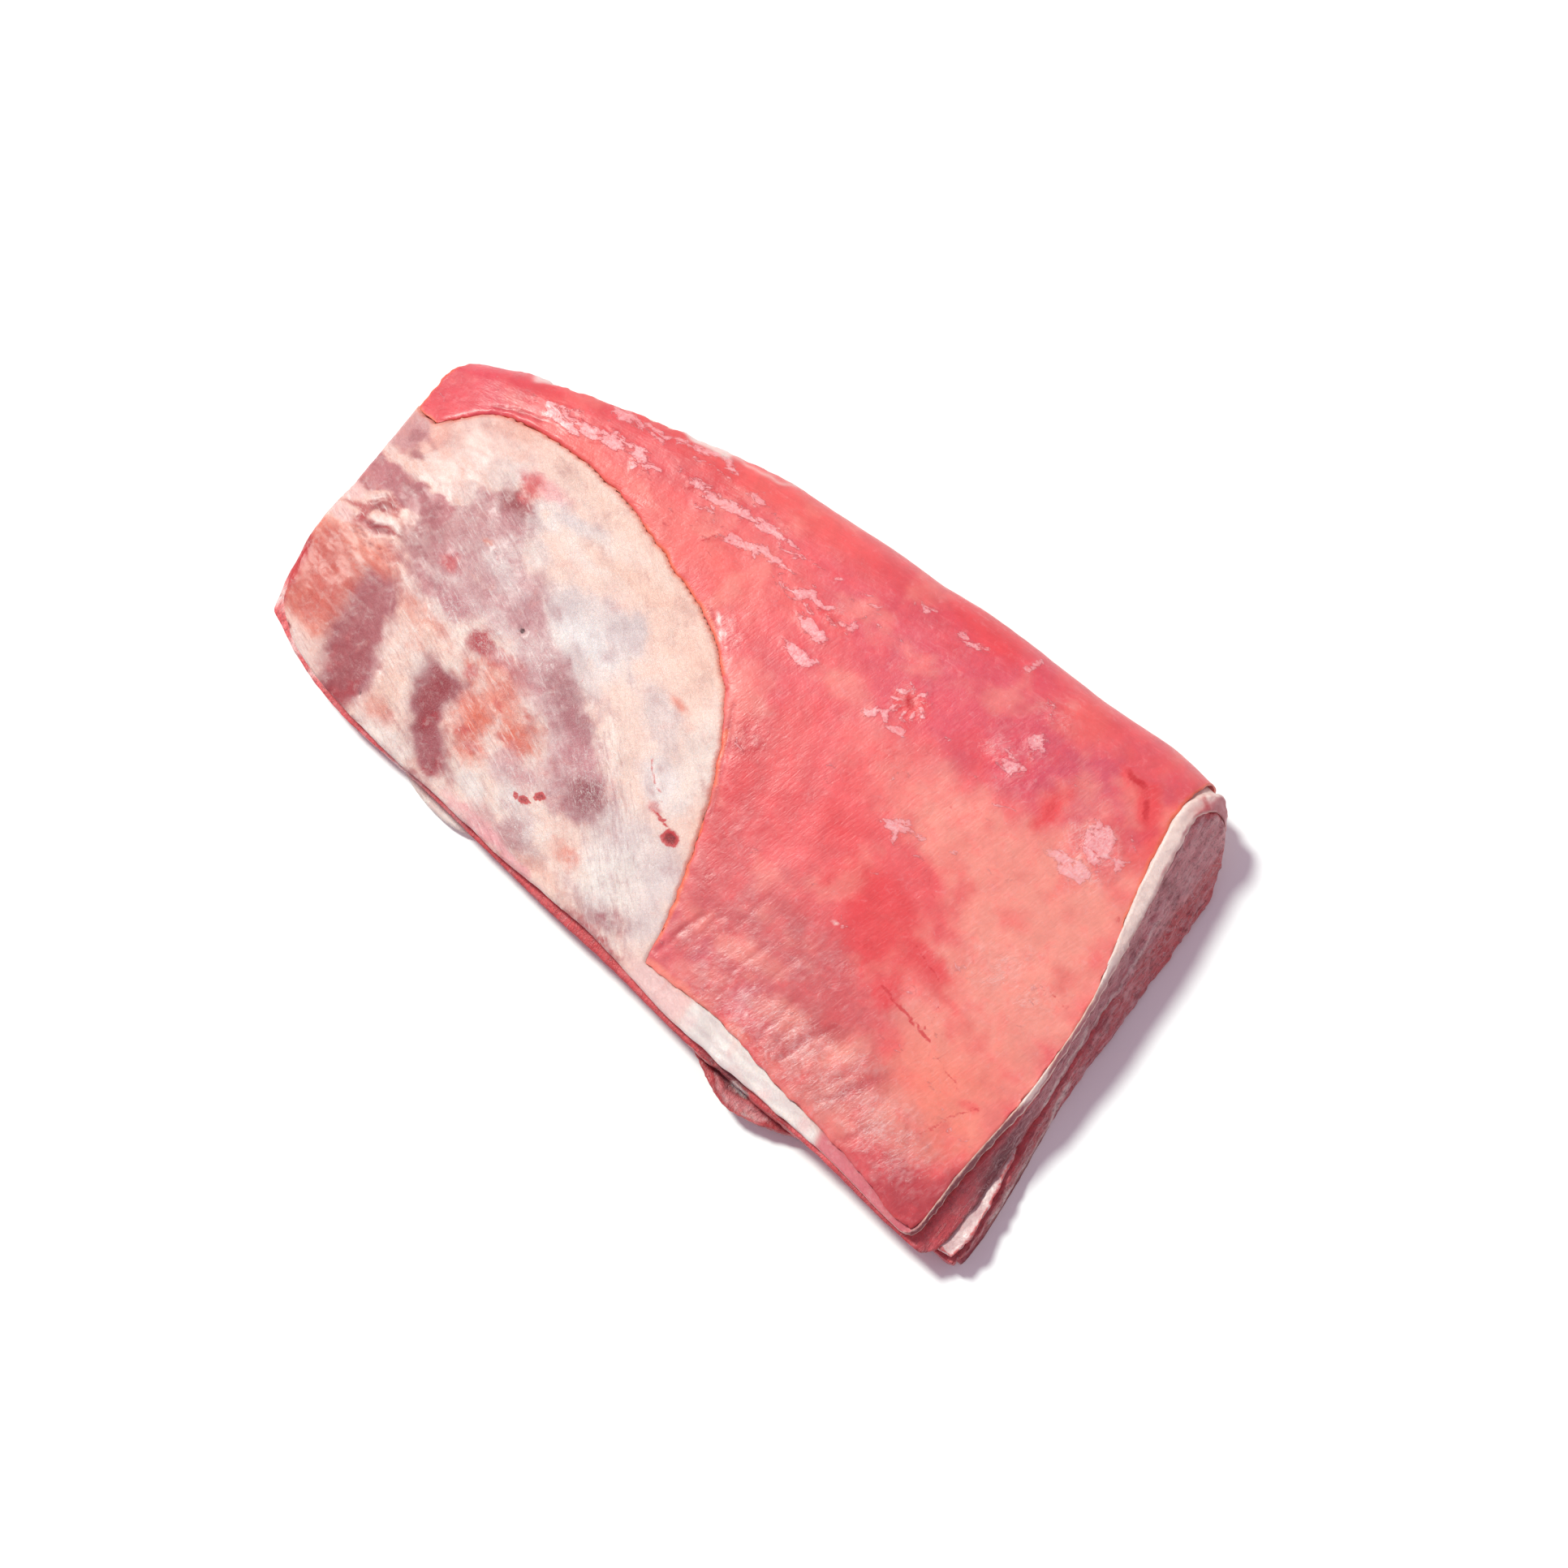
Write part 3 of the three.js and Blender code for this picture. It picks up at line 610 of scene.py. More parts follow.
SKIN_VEINS = [
    (1.0, 1.0, [(80, -26), (90, -28), (101, -30.5)]), (0.8, 0.6, [(104, -32), (112, -35), (125, -38)]),
    (0.8, 0.7, [(97, -20), (98, -26), (96.5, -30)]),
    (1.1, 0.6, [(125, -37), (120, -44), (118, -50), (116, -54)]), (0.8, 0.7, [(80, -10), (86, -12), (92, -14)]),
    (0.7, 0.5, [(74, 6), (80, 3)]), (0.7, 0.5, [(48, 10), (50, 5.5)]), (0.8, 0.9, [(30.5, 47), (29, 44)]),
 (0.8, 0.8, [(70.5, 60), (71.5, 56), (70.8, 52)]),
    (0.8, 0.9, [(-66, 60), (-64.5, 62)]), (0.9, 0.8, [(-52, 49), (-50, 51.5), (-49, 54)]),
    (0.9, 0.5, [(60, 30), (66, 31)]), (0.8, 0.5, [(52, 33), (58, 31)]),
    (1.2, 0.5, [(56, -19), (62, -18), (67, -20)]), (0.7, 0.7, [(-38, 38), (-39, 34)]),
    (1.0, 0.5, [(72, 6), (70, 10)]), (0.9, 0.5, [(118, 5), (126, 3)]),
]
SKIN_CREASES = [
    (1.6, 0.8, [(24, -42), (22, -50), (20, -60)]), (1.4, 0.6, [(28, -40), (27, -48)]),
    (1.4, 0.7, [(62, -46), (61, -56), (60, -66)]), (1.4, 0.7, [(66, -52), (66, -62)]),
    (1.6, 0.8, [(77, -44), (72, -53), (70, -62)]), (1.4, 0.7, [(96, -50), (92, -58), (86, -66)]),
    (1.4, 0.6, [(90, -50), (86, -58)]), (1.2, 0.5, [(110, -52), (118, -63)]),
    (1.3, 0.5, [(45, -38), (42, -48), (43, -58)]), (1.4, 0.5, [(36, -26), (34, -38)]),
    (1.3, 0.5, [(104, -62), (98, -72)]), (1.6, 0.6, [(-10, 14), (-2, 0), (6, -16)]),
    (1.4, 0.6, [(-130, 44), (-124, 47), (-116, 50)]), (1.2, 0.5, [(54, -36), (52, -46)]),
]


def skin_fields(piece, sharp):
    """Paints where the skin's colours, films, spots and lines lie, and returns its own relief."""
    points = points_of(piece)
    spots = seen(points)
    loose = bent(spots, 14, 2.4, 5)
    torn = bent(spots, 5, 1.1, 15)
    fine = bent(spots, 3, 0.5, 25)
    grain = rough_waves(spots, 9, 4, 61)
    fascia = 0.85 * strokes(torn, SKIN_FASCIA, 1.5)
    for outline in SKIN_FILMS:
        fascia = np.maximum(fascia, 0.8 * patch(torn, outline, 1.5))
    x, y = (spots - SKIN_BURST).T
    away = np.hypot(x, y)
    rays = 0.5 + 0.5 * np.cos(9 * np.arctan2(y, x) + 3.5 * waves(spots, 4, 3))
    burst = rays * smooth(-away, -9.5, -4.0) * smooth(away, 1.8, 3.4)
    fascia = np.maximum(fascia, 0.95 * burst) * smooth(sharp, 0.4, 2.4)
    haze = np.clip(blobs(loose, SKIN_HAZE_AND_SHEEN) * (1 + 0.45 * rough_waves(spots, 7, 3, 63)), 0, 1)
    crease = strokes(fine, SKIN_CREASES)
    upper = smooth(spots[:, 1] - 0.25 * spots[:, 0], 45, 60)
    wrinkles = (1 - upper) * ridges(fine, 72, 4.5, 1.4, 21) + upper * ridges(fine, 6, 9, 1.9, 22)
    wrinkles *= haze * smooth(rough_waves(spots, 9, 2, 64), -0.5, 0.3)
    cloud = rough_waves(spots, 17, 5, 68)
    coat = Coat(points, SALMON)
    coat.ovals(loose, grain, SKIN_WASHES)
    coat.lay(CRIMSON, 0.4 * smooth(cloud, 0.1, 0.8))
    coat.lay(ORANGE, 0.42 * smooth(-cloud, 0.1, 0.8))
    coat.ovals(torn, 1.6 * grain, SKIN_PATCHES)
    # Painted highlight along the wrinkle ridges, over their whitish film.
    coat.lay(FILM_AND_GLINT_WHITE, 0.3 * wrinkles)
    # Painted shade: the crease lines are darkened with the corner red.
    coat.lay(CORNER_RED, 0.7 * crease)
    coat.lay(PALE_CREAM, smooth(strokes(loose, SKIN_PALE_EDGE), 0.2, 0.8) * 0.9)
    coat.lay(FAT_AND_GLINT_WHITE, blobs(torn, WHITE_FLECKS))
    coat.vary(0.05 * rough_waves(spots, 8, 4, 65) + 0.03 * fibres(spots, 8, 12, 1.6, 66))
    # Painted shade: the colour is darkened towards the left end, whose surfaces face the key light, to offset
    # the extra light there.
    towards_light = smooth(-spots[:, 0], 30, 120)[:, None]
    along_front = smooth(-spots[:, 1], 55, 62) * smooth(spots[:, 0], 0, 20)
    at_cut = smooth(points[:, 0], 126, 130)
    rim = np.clip(1 - sharp / 2.2, 0, 1) * (1 - 0.5 * np.maximum(along_front, at_cut))
    paint(piece, coat.colours * SKIN_DEPTH * (1 - towards_light * SKIN_PAINTED_SHADE), fascia=fascia, haze=haze,
          upper=upper, blood=blobs(torn, SKIN_BLOOD), vein=strokes(fine, SKIN_VEINS), rim=rim)
    relief = 0.16 * wrinkles + 0.14 * smooth(fascia, 0.25, 0.6) + 0.1 * haze * rough_waves(spots, 4, 2, 67)
    relief += 0.12 * rough_waves(points, 9, 3, 23) - 0.45 * crease
    return relief - 0.4 * smooth(-away, -2.6, -0.4)


def skin_finish():
    f = Finish("skin_muscle_moist")
    mid = f.noise(6, 4, 0.6, 0.5)
    fine = f.noise(1.3, 4, 0.65)
    grit = f.noise(0.9, 3, 0.6)
    along = f.noise(0.9, 3, 0.6, 0.6, turn=6, stretch=8)
    down = f.noise(0.8, 3, 0.6, 0.6, turn=76, stretch=6)
    fibre = f.between(down, along, f.field("upper"))
    haze = f.field("haze")
    f.lay(CRIMSON, f.ramp(mid, 0.52, 0.72, 0.0, 0.25))
    f.lay(FILM_PINK, f.ramp(f.noise(3.0, 6, 0.68, 0.8), 0.54, 0.72, 0.0, 0.2))
    coarse = f.sum(0.06, f.times(haze, 0.06))
    f.shade(f.sum(f.ramp(mid, 0.25, 0.75, 0.95, 1.06), f.times(f.swing(fibre, 1.0), coarse),
                  f.times(f.swing(fine, 1.0), coarse)))
    # The milky veil is whitish film colour, and it also gates the painted glints below.
    veil_and_sheen = f.sum(haze, f.swing(f.noise(9.0, 6, 0.62, 0.8), 1.0))
    f.lay(FILM_WARM, f.ramp(veil_and_sheen, 0.5, 1.3, 0.0, 0.18))
    # Painted highlights: crinkled and lacy lines, laid white where the veil lies, stand in for glints on the wet
    # film.
    crinkle = f.creases(3.6, turn=68, stretch=4.5, width=0.022, distortion=2.0, detail=4.0)
    lace = f.creases(2.0, turn=40, stretch=2.6, width=0.028, distortion=1.8, detail=4.0)
    glint = f.times(f.larger(crinkle, f.times(lace, 0.8)), f.ramp(veil_and_sheen, 0.4, 1.0))
    f.lay(FILM_AND_GLINT_WHITE, f.times(glint, 0.36))
    # Painted highlights: small white flecks, standing in for the glitter of the wet surface.
    glint_flecks = f.times(f.ramp(grit, 0.62, 0.74), f.ramp(f.sum(haze, f.swing(mid, 0.6)), 0.1, 0.9, 0.25, 0.8))
    f.lay(FILM_AND_GLINT_WHITE, f.times(glint_flecks, 0.4))
    # Fine whitish fibres, laid partly as painted highlights along them.
    threads_and_glints = f.times(f.ramp(fibre, 0.6, 0.7), f.ramp(haze, 0.1, 0.8, 0.1, 0.5))
    f.lay(FILM_AND_GLINT_WHITE, f.times(threads_and_glints, 0.45))
    stray = f.ramp(f.noise(14, 3, 0.6, 0.5), 0.5, 0.66, -0.2, 0.34)
    tatters = f.swing(f.noise(3.4, 9, 0.72, 0.9, turn=8, stretch=2.0), 1.15)
    wisp = f.sum(f.larger(f.field("fascia"), stray), tatters)
    film = f.ramp(wisp, 0.52, 0.6)
    film_tint = f.mix(FILM_PINK, FILM_AND_GLINT_WHITE, f.ramp(f.sum(wisp, f.swing(fibre, 0.5)), 0.75, 1.4, 0.0, 0.7))
    lacy = f.ramp(f.noise(0.9, 5, 0.75, 0.6), 0.36, 0.58, 0.4, 1.0)
    f.lay(film_tint, f.times(f.times(film, lacy), f.ramp(wisp, 0.5, 0.9, 0.55, 0.95)))
    f.lay(BLOOD, f.ramp(f.ragged("blood", fine, 0.4), 0.3, 0.95, 0.0, 0.85))
    f.lay(VEIN_RED, f.ramp(f.ragged("vein", f.noise(1.0, 3, 0.6), 0.5), 0.3, 0.7, 0.0, 0.8))
    # The cut edge's own orange, laid bright so that it also paints light over the edge's own shade.
    f.lay(EDGE_ORANGE, f.ramp(f.ragged("rim", mid, 0.35), 0.4, 0.95, 0.0, 0.7))
    rough = f.sum(f.ramp(fine, 0.3, 0.7, 0.34, 0.48), f.times(haze, -0.08))
    folds = f.times(f.noise(2.2, 5, 0.6, 1.6, turn=70, stretch=3.0), f.ramp(veil_and_sheen, 0.3, 1.0, 0.15, 1.0))
    height = f.sum(f.times(fine, 0.3), f.times(fibre, 0.3), f.times(folds, 0.7), f.times(film, 0.3))
    return f.close(height, rough, depth=0.45, bump=0.7, **FLESH_GLOW)


# ---------------------------------------------------------------- the fat cap and its lobe

OPEN_ZONE = [(-160, 12), (-130, 14), (-120, 21), (-109, 32), (-97, 28), (-91, 14), (-77, 4), (-62, -6),
             (-50, -10), (-36, -12), (-20, -22), (-6, -33), (4, -46), (12, -66), (12, -80), (-160, -80)]
LOBE_MAUVE = [(-125, -4), (-123, 10), (-117, 19), (-107, 24), (-97, 19), (-92, 13), (-85, 8), (-78, 4),
              (-72, 0), (-66, -4), (-58, -9), (-50, -12), (-41, -15), (-34, -24), (-24, -30), (-20, -37),
              (-24, -45), (-34, -44), (-46, -36), (-52, -25), (-62, -20), (-76, -13), (-95, -16),
              (-112, -14), (-122, -9)]
PLUM_FLAP = [(-152, 9.5), (-141, 9.5), (-134, 8), (-131, 10), (-127, 9), (-124, 11), (-117, 9), (-117, 2),
             (-126, 1), (-132, 0), (-137, 1.5), (-141, -2), (-152, -3)]
TORN_CREAM = [(-152, 11), (-141, 10.5), (-134, 9.5), (-131, 11.5), (-127, 10.5), (-124, 13), (-119, 9),
              (-116, 13), (-117, 18), (-110, 24), (-113, 30), (-128, 28), (-135, 20), (-139, 13), (-144, 14),
              (-152, 13)]
# The patches at the rib end: colour, soft width, strength, how far they stand up, and outline.
END_PATCHES = [
    (MAUVE_GREY, 2.0, 0.8, 0.0, [(-152, 27), (-142, 28), (-139, 22), (-142, 16), (-152, 12)]),
    (PLUM, 1.0, 0.6, 0.0, [(-145, 22), (-141, 24), (-140, 20), (-144, 18)]),
    (PLUM, 0.9, 0.6, 0.0, [(-141, 16.5), (-136, 17.5), (-135, 15.5), (-140, 15)]),
    (FILM_AND_GLINT_WHITE, 1.4, 0.7, 0.0, [(-152, -2), (-145, -2), (-141, -5), (-146, -9), (-152, -9)]),
    (RIB_RED, 1.4, 0.8, -0.25, [(-148, -10), (-141, -6.5), (-139, -2), (-137, 1), (-131, 0), (-129, -4),
                                (-137, -5), (-138, -9), (-142, -9)]),
    (RIB_DARK, 1.1, 0.75, -0.25, [(-139, -4.5), (-136, -1), (-132, -1), (-134, -4), (-138, -7)]),
    (RIB_RED, 1.3, 0.9, -0.25, [(-140, -9), (-136, -9.5), (-131, -7), (-125, -8), (-129, -10.5), (-133, -13),
                                (-139, -12)]),
    (RIB_DARK, 0.9, 0.8, -0.2, [(-137, -10), (-130, -8.5), (-127, -8.8), (-133, -11.5)]),
    (FAT_AND_GLINT_WHITE, 0.7, 0.8, 0.05, [(-136, -8.6), (-131, -5.6), (-127, -5.0), (-125, -7.4), (-130, -7.4),
                                 (-134, -9.6)]),
    (FAT_AND_GLINT_WHITE, 0.8, 0.7, 0.05, [(-141, -3.4), (-138, 0.4), (-136, 0), (-139, -4.4)]),
    (FILM_AND_GLINT_WHITE, 1.2, 0.7, 0.05, [(-152, -10.8), (-144, -10.2), (-139, -13.5), (-144, -15.5), (-152, -15)]),
    (RIB_RED, 2.0, 0.95, 0.3, [(-156, -22), (-148, -22), (-144.5, -28), (-143, -34), (-141, -43),
                               (-137, -49.5), (-131.5, -53), (-134, -57), (-156, -52)]),
    (HOT_RED, 1.4, 0.7, 0.0, [(-146, -27), (-142.5, -32), (-140.5, -40), (-143, -42), (-146, -36)]),
    (PALE_CREAM, 0.8, 0.9, 0.0, [(-137, -54.5), (-133, -54.8), (-132, -57), (-137, -57)]),
]
RIB_GAP_1 = [(-126, -22), (-118, -20), (-113, -26), (-108, -34), (-104, -44), (-102, -54), (-104, -61),
             (-113, -62), (-120, -52), (-122, -43), (-124, -32)]
RIB_GAP_2 = [(-93, -31), (-86, -32), (-79, -33), (-78, -40), (-77, -47), (-71, -51), (-65, -57), (-67, -62),
             (-76, -59), (-83, -54), (-87, -47), (-90, -39)]
RIB_LEAN = [(-155, -18), (-140, -14), (-126, -12), (-120, -20), (-119, -30), (-120, -44), (-125, -50),
            (-136, -48), (-155, -40)]
CLEAN_STRIP = [(38, -63), (66, -64), (84, -70), (92, -72), (94, -78), (90, -95), (42, -95)]
LOBE_WASHES = [
    (WARM_CREAM, -30, 22, 34, 14, -25, 0.6), (WARM_CREAM, -72, 40, 34, 5, -6, 0.5),
    (PALE_CREAM, -122, 32, 13, 9, 25, 0.5), (PALE_CREAM, -6, -6, 8, 20, 25, 0.6),
    (PALE_CREAM, 0, -50, 16, 16, -50, 0.9), (LILAC_WHITE, -60, 3, 18, 12, 0, 1.0),
    (LILAC, -68, 9, 14, 5, 28, 0.7), (LILAC, -47, 12, 5, 8, 30, 0.9), (LILAC, -86, 29, 11, 3, 5, 0.9),
    (LILAC, -25, -3, 11, 6, -20, 0.7), (LILAC_WHITE, -12, -18, 12, 6, -30, 0.8),
    (LILAC, -4, -38, 16, 8, -20, 0.6), (LILAC, 10, -46, 5, 16, 15, 0.6),
    (LILAC_WHITE, -98, 22, 6, 4, -30, 0.8), (PALE_CREAM, -76, 26, 12, 6, 0, 0.6),
    (WARM_CREAM, -60, 27, 22, 3, 4, 0.7), (PEACH, -44, 36, 8, 4, -10, 0.6), (PEACH, -118, 42, 9, 3, 28, 0.5),
    (CORAL_FAT, -23, 4.5, 3.5, 1.8, 0, 0.8), (CORAL_FAT, -137, 26, 3, 5, 0, 0.3),
    (PEACH, 6, -22, 5, 12, 25, 0.4),
    (LILAC, -55, -6, 12, 5, -15, 0.7), (FAT_AND_GLINT_WHITE, -66, -4, 6, 4, -20, 0.7), (LILAC, -88, 16, 6, 3, -20, 0.6),
]
OPEN_WASHES = [
    (MAUVE_ROSE, -144, 20, 5, 9, 0, 0.7), (PLUM, -143, 20, 2.4, 4, 10, 0.8),
    (PLUM, -138, 16, 4.5, 1.6, 12, 0.7), (MAUVE_ROSE, -138, 5, 13, 6, 5, 0.9), (PLUM, -140, 4, 6, 3, 20, 0.7),
    (MAUVE_ROSE, -126, 6, 8, 4, 20, 0.7), (PLUM, -118, -4, 10, 6, -10, 0.7),
    (MAUVE_ROSE, -104, -14, 20, 3.6, -3, 0.95), (PLUM, -112, -13, 8, 2.2, 0, 0.7),
    (MAUVE_ROSE, -108, 14, 10, 7, 0, 0.5), (PLUM, -104, 22, 7, 4, 0, 0.6), (MAUVE_ROSE, -112, -2, 9, 5, 0, 0.6),
    (MAUVE_ROSE, -82, -4, 11, 4, -12, 0.7), (PLUM, -80, -5, 7, 2.4, -8, 0.5), (LILAC, -92, 3, 12, 4, -20, 0.5),
    (PLUM, -52, -17, 10, 6, -25, 0.9), (PLUM, -44, -22, 8, 6, 0, 0.9), (MAUVE_ROSE, -62, -22, 14, 4, -8, 0.7),
    (MAUVE_ROSE, -34, -28, 12, 6, -25, 0.9), (PLUM, -27, -38, 9, 6, -10, 1.0),
    (DEEP_PLUM, -28, -35, 4, 3, -10, 0.5), (MAUVE_ROSE, -40, -40, 10, 6, 0, 0.6),
    (PLUM, -36, -57, 12, 4.5, -35, 0.95), (PLUM, 0, -62, 8, 5, 0, 1.0), (MAUVE_ROSE, -50, -45, 9, 6, 0, 0.8),
    (MAUVE_ROSE, -46, -60, 12, 4, -20, 0.6), (LILAC, -12, -42, 14, 6, -10, 0.6),
    (CORAL_FAT, -70, -36, 14, 13, 0, 0.95), (ORANGE_FAT, -70, -37, 9, 8, 0, 0.7),
    (CORAL_FAT, -77, -24, 9, 7, 0, 0.8), (CORAL_FAT, -58, -32, 12, 7, -20, 0.8),
    (ORANGE_FAT, -54, -35, 8, 4, -5, 0.7), (CORAL_FAT, -104, -22, 12, 6, -15, 0.7),
    (CORAL_FAT, -98, -32, 7, 7, 0, 0.4),
    (WARM_CREAM, -97, -44, 6, 12, 0, 0.7), (CORAL_FAT, -95, -55, 6, 4, -20, 0.7),
    (PALE_CREAM, -92, -36, 6, 6, 0, 0.6), (CORAL_FAT, -20, -54, 7, 3.4, -15, 0.75),
    (CORAL_FAT, -64, -46, 7, 5, 0, 0.9), (FAT_AND_GLINT_WHITE, -42, -53, 15, 5, -28, 0.55),
    (FAT_AND_GLINT_WHITE, -8, -54, 12, 6, -50, 0.7), (FAT_AND_GLINT_WHITE, -56, -55, 8, 4, -20, 0.7),
    (PEACH, -20, -64, 14, 3, -8, 0.6), (FILM_PINK, -50, -63, 16, 2.4, -6, 0.7),
    (FAT_AND_GLINT_WHITE, -112, 30, 7, 5, 25, 0.8), (FAT_AND_GLINT_WHITE, -121, 14, 6, 3, 40, 0.7),
    (FAT_AND_GLINT_WHITE, -132, 12, 5, 2, 20, 0.5), (LILAC_WHITE, -90, 25, 4, 3, 0, 0.6),
    (FAT_AND_GLINT_WHITE, -106, -18, 16, 2.4, -8, 0.5), (PEACH, -100, -26, 8, 3, -20, 0.5),
    (PALE_CREAM, -88, 13, 4, 2, -30, 0.5), (PALE_CREAM, -126, -55, 12, 4, -24, 0.9),
    (PALE_CREAM, -88, -60, 12, 3, 0, 0.6), (PEACH, -70, -60, 8, 2, 0, 0.4),
    (RIB_RED, -84, -18, 4.4, 5.2, 10, 1.0), (HOT_RED, -76, -20, 6, 3.4, 0, 0.6),
    (HOT_RED, -80, -28, 2, 3, 0, 0.8), (RIB_RED, -107, -4, 3.4, 2.6, 0, 0.6),
    (RIB_RED, -73, -53, 4.5, 2.6, 10, 0.7), (HOT_RED, -66, -31, 3, 1.4, -15, 0.5),
    (HOT_RED, -64, -46, 3.4, 2.0, 0, 0.55), (RIB_RED, -57, -27, 4, 2.2, -10, 0.5),
    (HOT_RED, -55, -38, 4, 2, 0, 0.4), (RIB_RED, 1.2, -30, 2.6, 2.0, 0, 0.9),
    (HOT_RED, -8.5, -26, 2.8, 1.4, -15, 0.5), (HOT_RED, -52, -40, 4, 2, 0, 0.4),
    (CORAL_FAT, -102.5, 8, 1.8, 1.1, 0, 1.0), (RIB_RED, 2, -67.5, 11, 2, -6, 0.9),
    (HOT_RED, -26, -68, 22, 1.4, -5, 0.7), (RIB_RED, -102, -62, 13, 1.6, -6, 0.9),
    (RIB_RED, -72, -63.5, 9, 1.4, -2, 0.8), (PALE_CREAM, -60, -68, 16, 3, -4, 0.9),
]
LOBE_SPOTS = [
    (FILM_PINK, -100, 32.5, 8, 3.6, 0, 0.7), (RIB_DARK, -104, 23.5, 4.4, 3.4, 0, 0.85),
    (HOT_RED, -103.5, 30, 3.8, 4.6, 10, 0.85), (LILAC, -90, 28.5, 8, 1.8, 4, 0.8),
    (MAUVE_ROSE, -105, -14.5, 13, 2.0, -10, 0.75), (MAUVE_ROSE, -76, -18.5, 16, 2.0, -6, 0.5),
    (MAUVE_ROSE, -108, -4, 6, 4, 0, 0.7), (MAUVE_ROSE, -78, -4, 10, 5, 0, 0.4),
    (LILAC, -50, 12, 5, 6, 0, 0.5), (RIB_RED, -84, -18, 4.8, 4.8, 0, 0.9), (ORANGE_FAT, -69, -37, 7, 6, 0, 0.8),
    (PLUM, -48, -18, 8, 5, -40, 0.6), (PLUM, -27, -37, 9, 7, -20, 0.7), (DEEP_PLUM, -28, -36, 7, 5, -10, 0.75),
    (PLUM, -38, -58, 9, 3.6, -35, 0.6), (MAUVE_GREY, -41, -52, 8, 4, -30, 0.45),
    (PLUM, -18, -30, 5, 3, -30, 0.3), (ORANGE_FAT, -55, -36, 6, 3, 0, 0.6),
    (MAUVE_GREY, -53, -42, 6, 5, 0, 0.5), (FILM_PINK, -34, -65, 14, 1.6, -4, 0.8),
    (LILAC, 6, -42, 7, 12, 0, 0.25), (LILAC, 14, -56, 5, 8, 0, 0.4),
    (LILAC, -12, -37, 8, 5, 0, 0.4), (RIB_DARK, -83, -38, 5, 4, 0, 0.7), (PLUM, -75, -54, 6, 4, 0, 0.4),
    (CORAL_END, -137, -33, 11, 14, 20, 0.8), (ORANGE_FAT, -125, -17, 8, 4.4, 0, 0.5),
    (HOT_RED, -108, -4.5, 3, 2.2, 20, 0.6), (HOT_RED, -70, -44, 3, 1.6, 30, 0.5),
    (RIB_RED, -60, -38, 2.4, 1.6, 0, 0.5), (ORANGE_FAT, -64, -50, 5, 3, 10, 0.5),
    (FAT_AND_GLINT_WHITE, -44, -50, 6, 2, -30, 0.5),
]
FAT_VEINS = [
    (0.7, 0.9, [(-19, -14), (-16, -17), (-13, -20), (-10, -20.5)]),
    (0.7, 0.6, [(-53, 5), (-54, -3), (-51, -10)]), (0.9, 0.9, [(-11, -27), (-5, -27), (1, -29.5)]),
    (0.8, 0.6, [(-7.5, -23), (-8.5, -27)]),
    (0.9, 0.6, [(-80, 46), (-78.5, 43), (-77, 39)]), (1.4, 0.35, [(-16, -54), (-10, -60), (-5, -66)]),
    (1.2, 0.3, [(-12, -42), (0, -52)]), (0.9, 0.5, [(-57, 21), (-55, 23)]), (1.3, 0.3, [(-4, -40), (4, -56)]),
    (0.9, 0.7, [(-66, -31), (-60, -33), (-55, -33)]), (0.7, 0.5, [(-1, -31), (1, -42)]),
    (1.0, 0.6, [(-100, 7.5), (-96, 5)]), (0.7, 0.5, [(-112, 18), (-106, 8), (-96, 3)]),
]
FAT_TEARS = [
    (0.9, 0.5, [(-137, -13.5), (-132, -15), (-127, -15)]),
    (0.9, 0.4, [(-138, -15), (-132, -16.5), (-125, -16)]),
    (1.0, 0.9, [(-138, -49.5), (-133.5, -51), (-131.2, -54)]),
    (0.9, 0.4, [(-127, -9), (-124, -15), (-120, -19.5)]),
]
FAT_PITS = [(-76, -7.6, 1.2, 1.1, 0, 1.0), (-102.3, -54, 0.9, 0.8, 0, 0.8)]
FAT_BLOOD = [(1.2, -30.4, 3.0, 2.6, 0, 0.95), (-38, -45, 1.9, 1.3, 30, 0.9), (-41, -48.6, 2.6, 1.1, 0, 0.85),
             (-44, -49, 1.6, 0.8, -30, 0.7), (-4, -27.4, 4, 0.8, -12, 0.7)]
FAT_FOLDS = [
    (1.6, 0.6, [(-127, -7), (-122, -14), (-119, -18), (-116, -22), (-113, -27), (-110, -32), (-106, -38)]),
    (1.3, 0.8, [(-98, 22), (-92, 13), (-85, 8), (-78, 5), (-72, 0), (-66, -3)]),
    (1.2, 0.5, [(-130, 10), (-124, 9), (-118, 8)]), (1.5, 0.3, [(-128, 22), (-120, 17), (-114, 20)]),
    (1.2, 0.6, [(-122, -2), (-114, 2), (-106, 1)]), (1.6, 0.5, [(-80, 6), (-66, 12), (-56, 10)]),
    (1.3, 0.6, [(-96, 6), (-90, 3), (-84, 1)]), (1.4, 0.6, [(-75, -4), (-68, -8), (-60, -8)]),
    (1.8, 0.6, [(-48, -12), (-40, -14), (-28, -20), (-22, -28)]),
    (1.2, 0.5, [(-95, -33), (-90, -42), (-85, -52)]), (1.6, 0.3, [(-144, 24), (-136, 18), (-130, 20)]),
    (1.4, 0.3, [(-118, 32), (-108, 34), (-98, 30)]),
    (1.2, 0.35, [(-124, 16), (-119, 10), (-116, 4), (-121, -2)]), (1.2, 0.6, [(-110, 22), (-102, 12), (-96, 8)]),
]
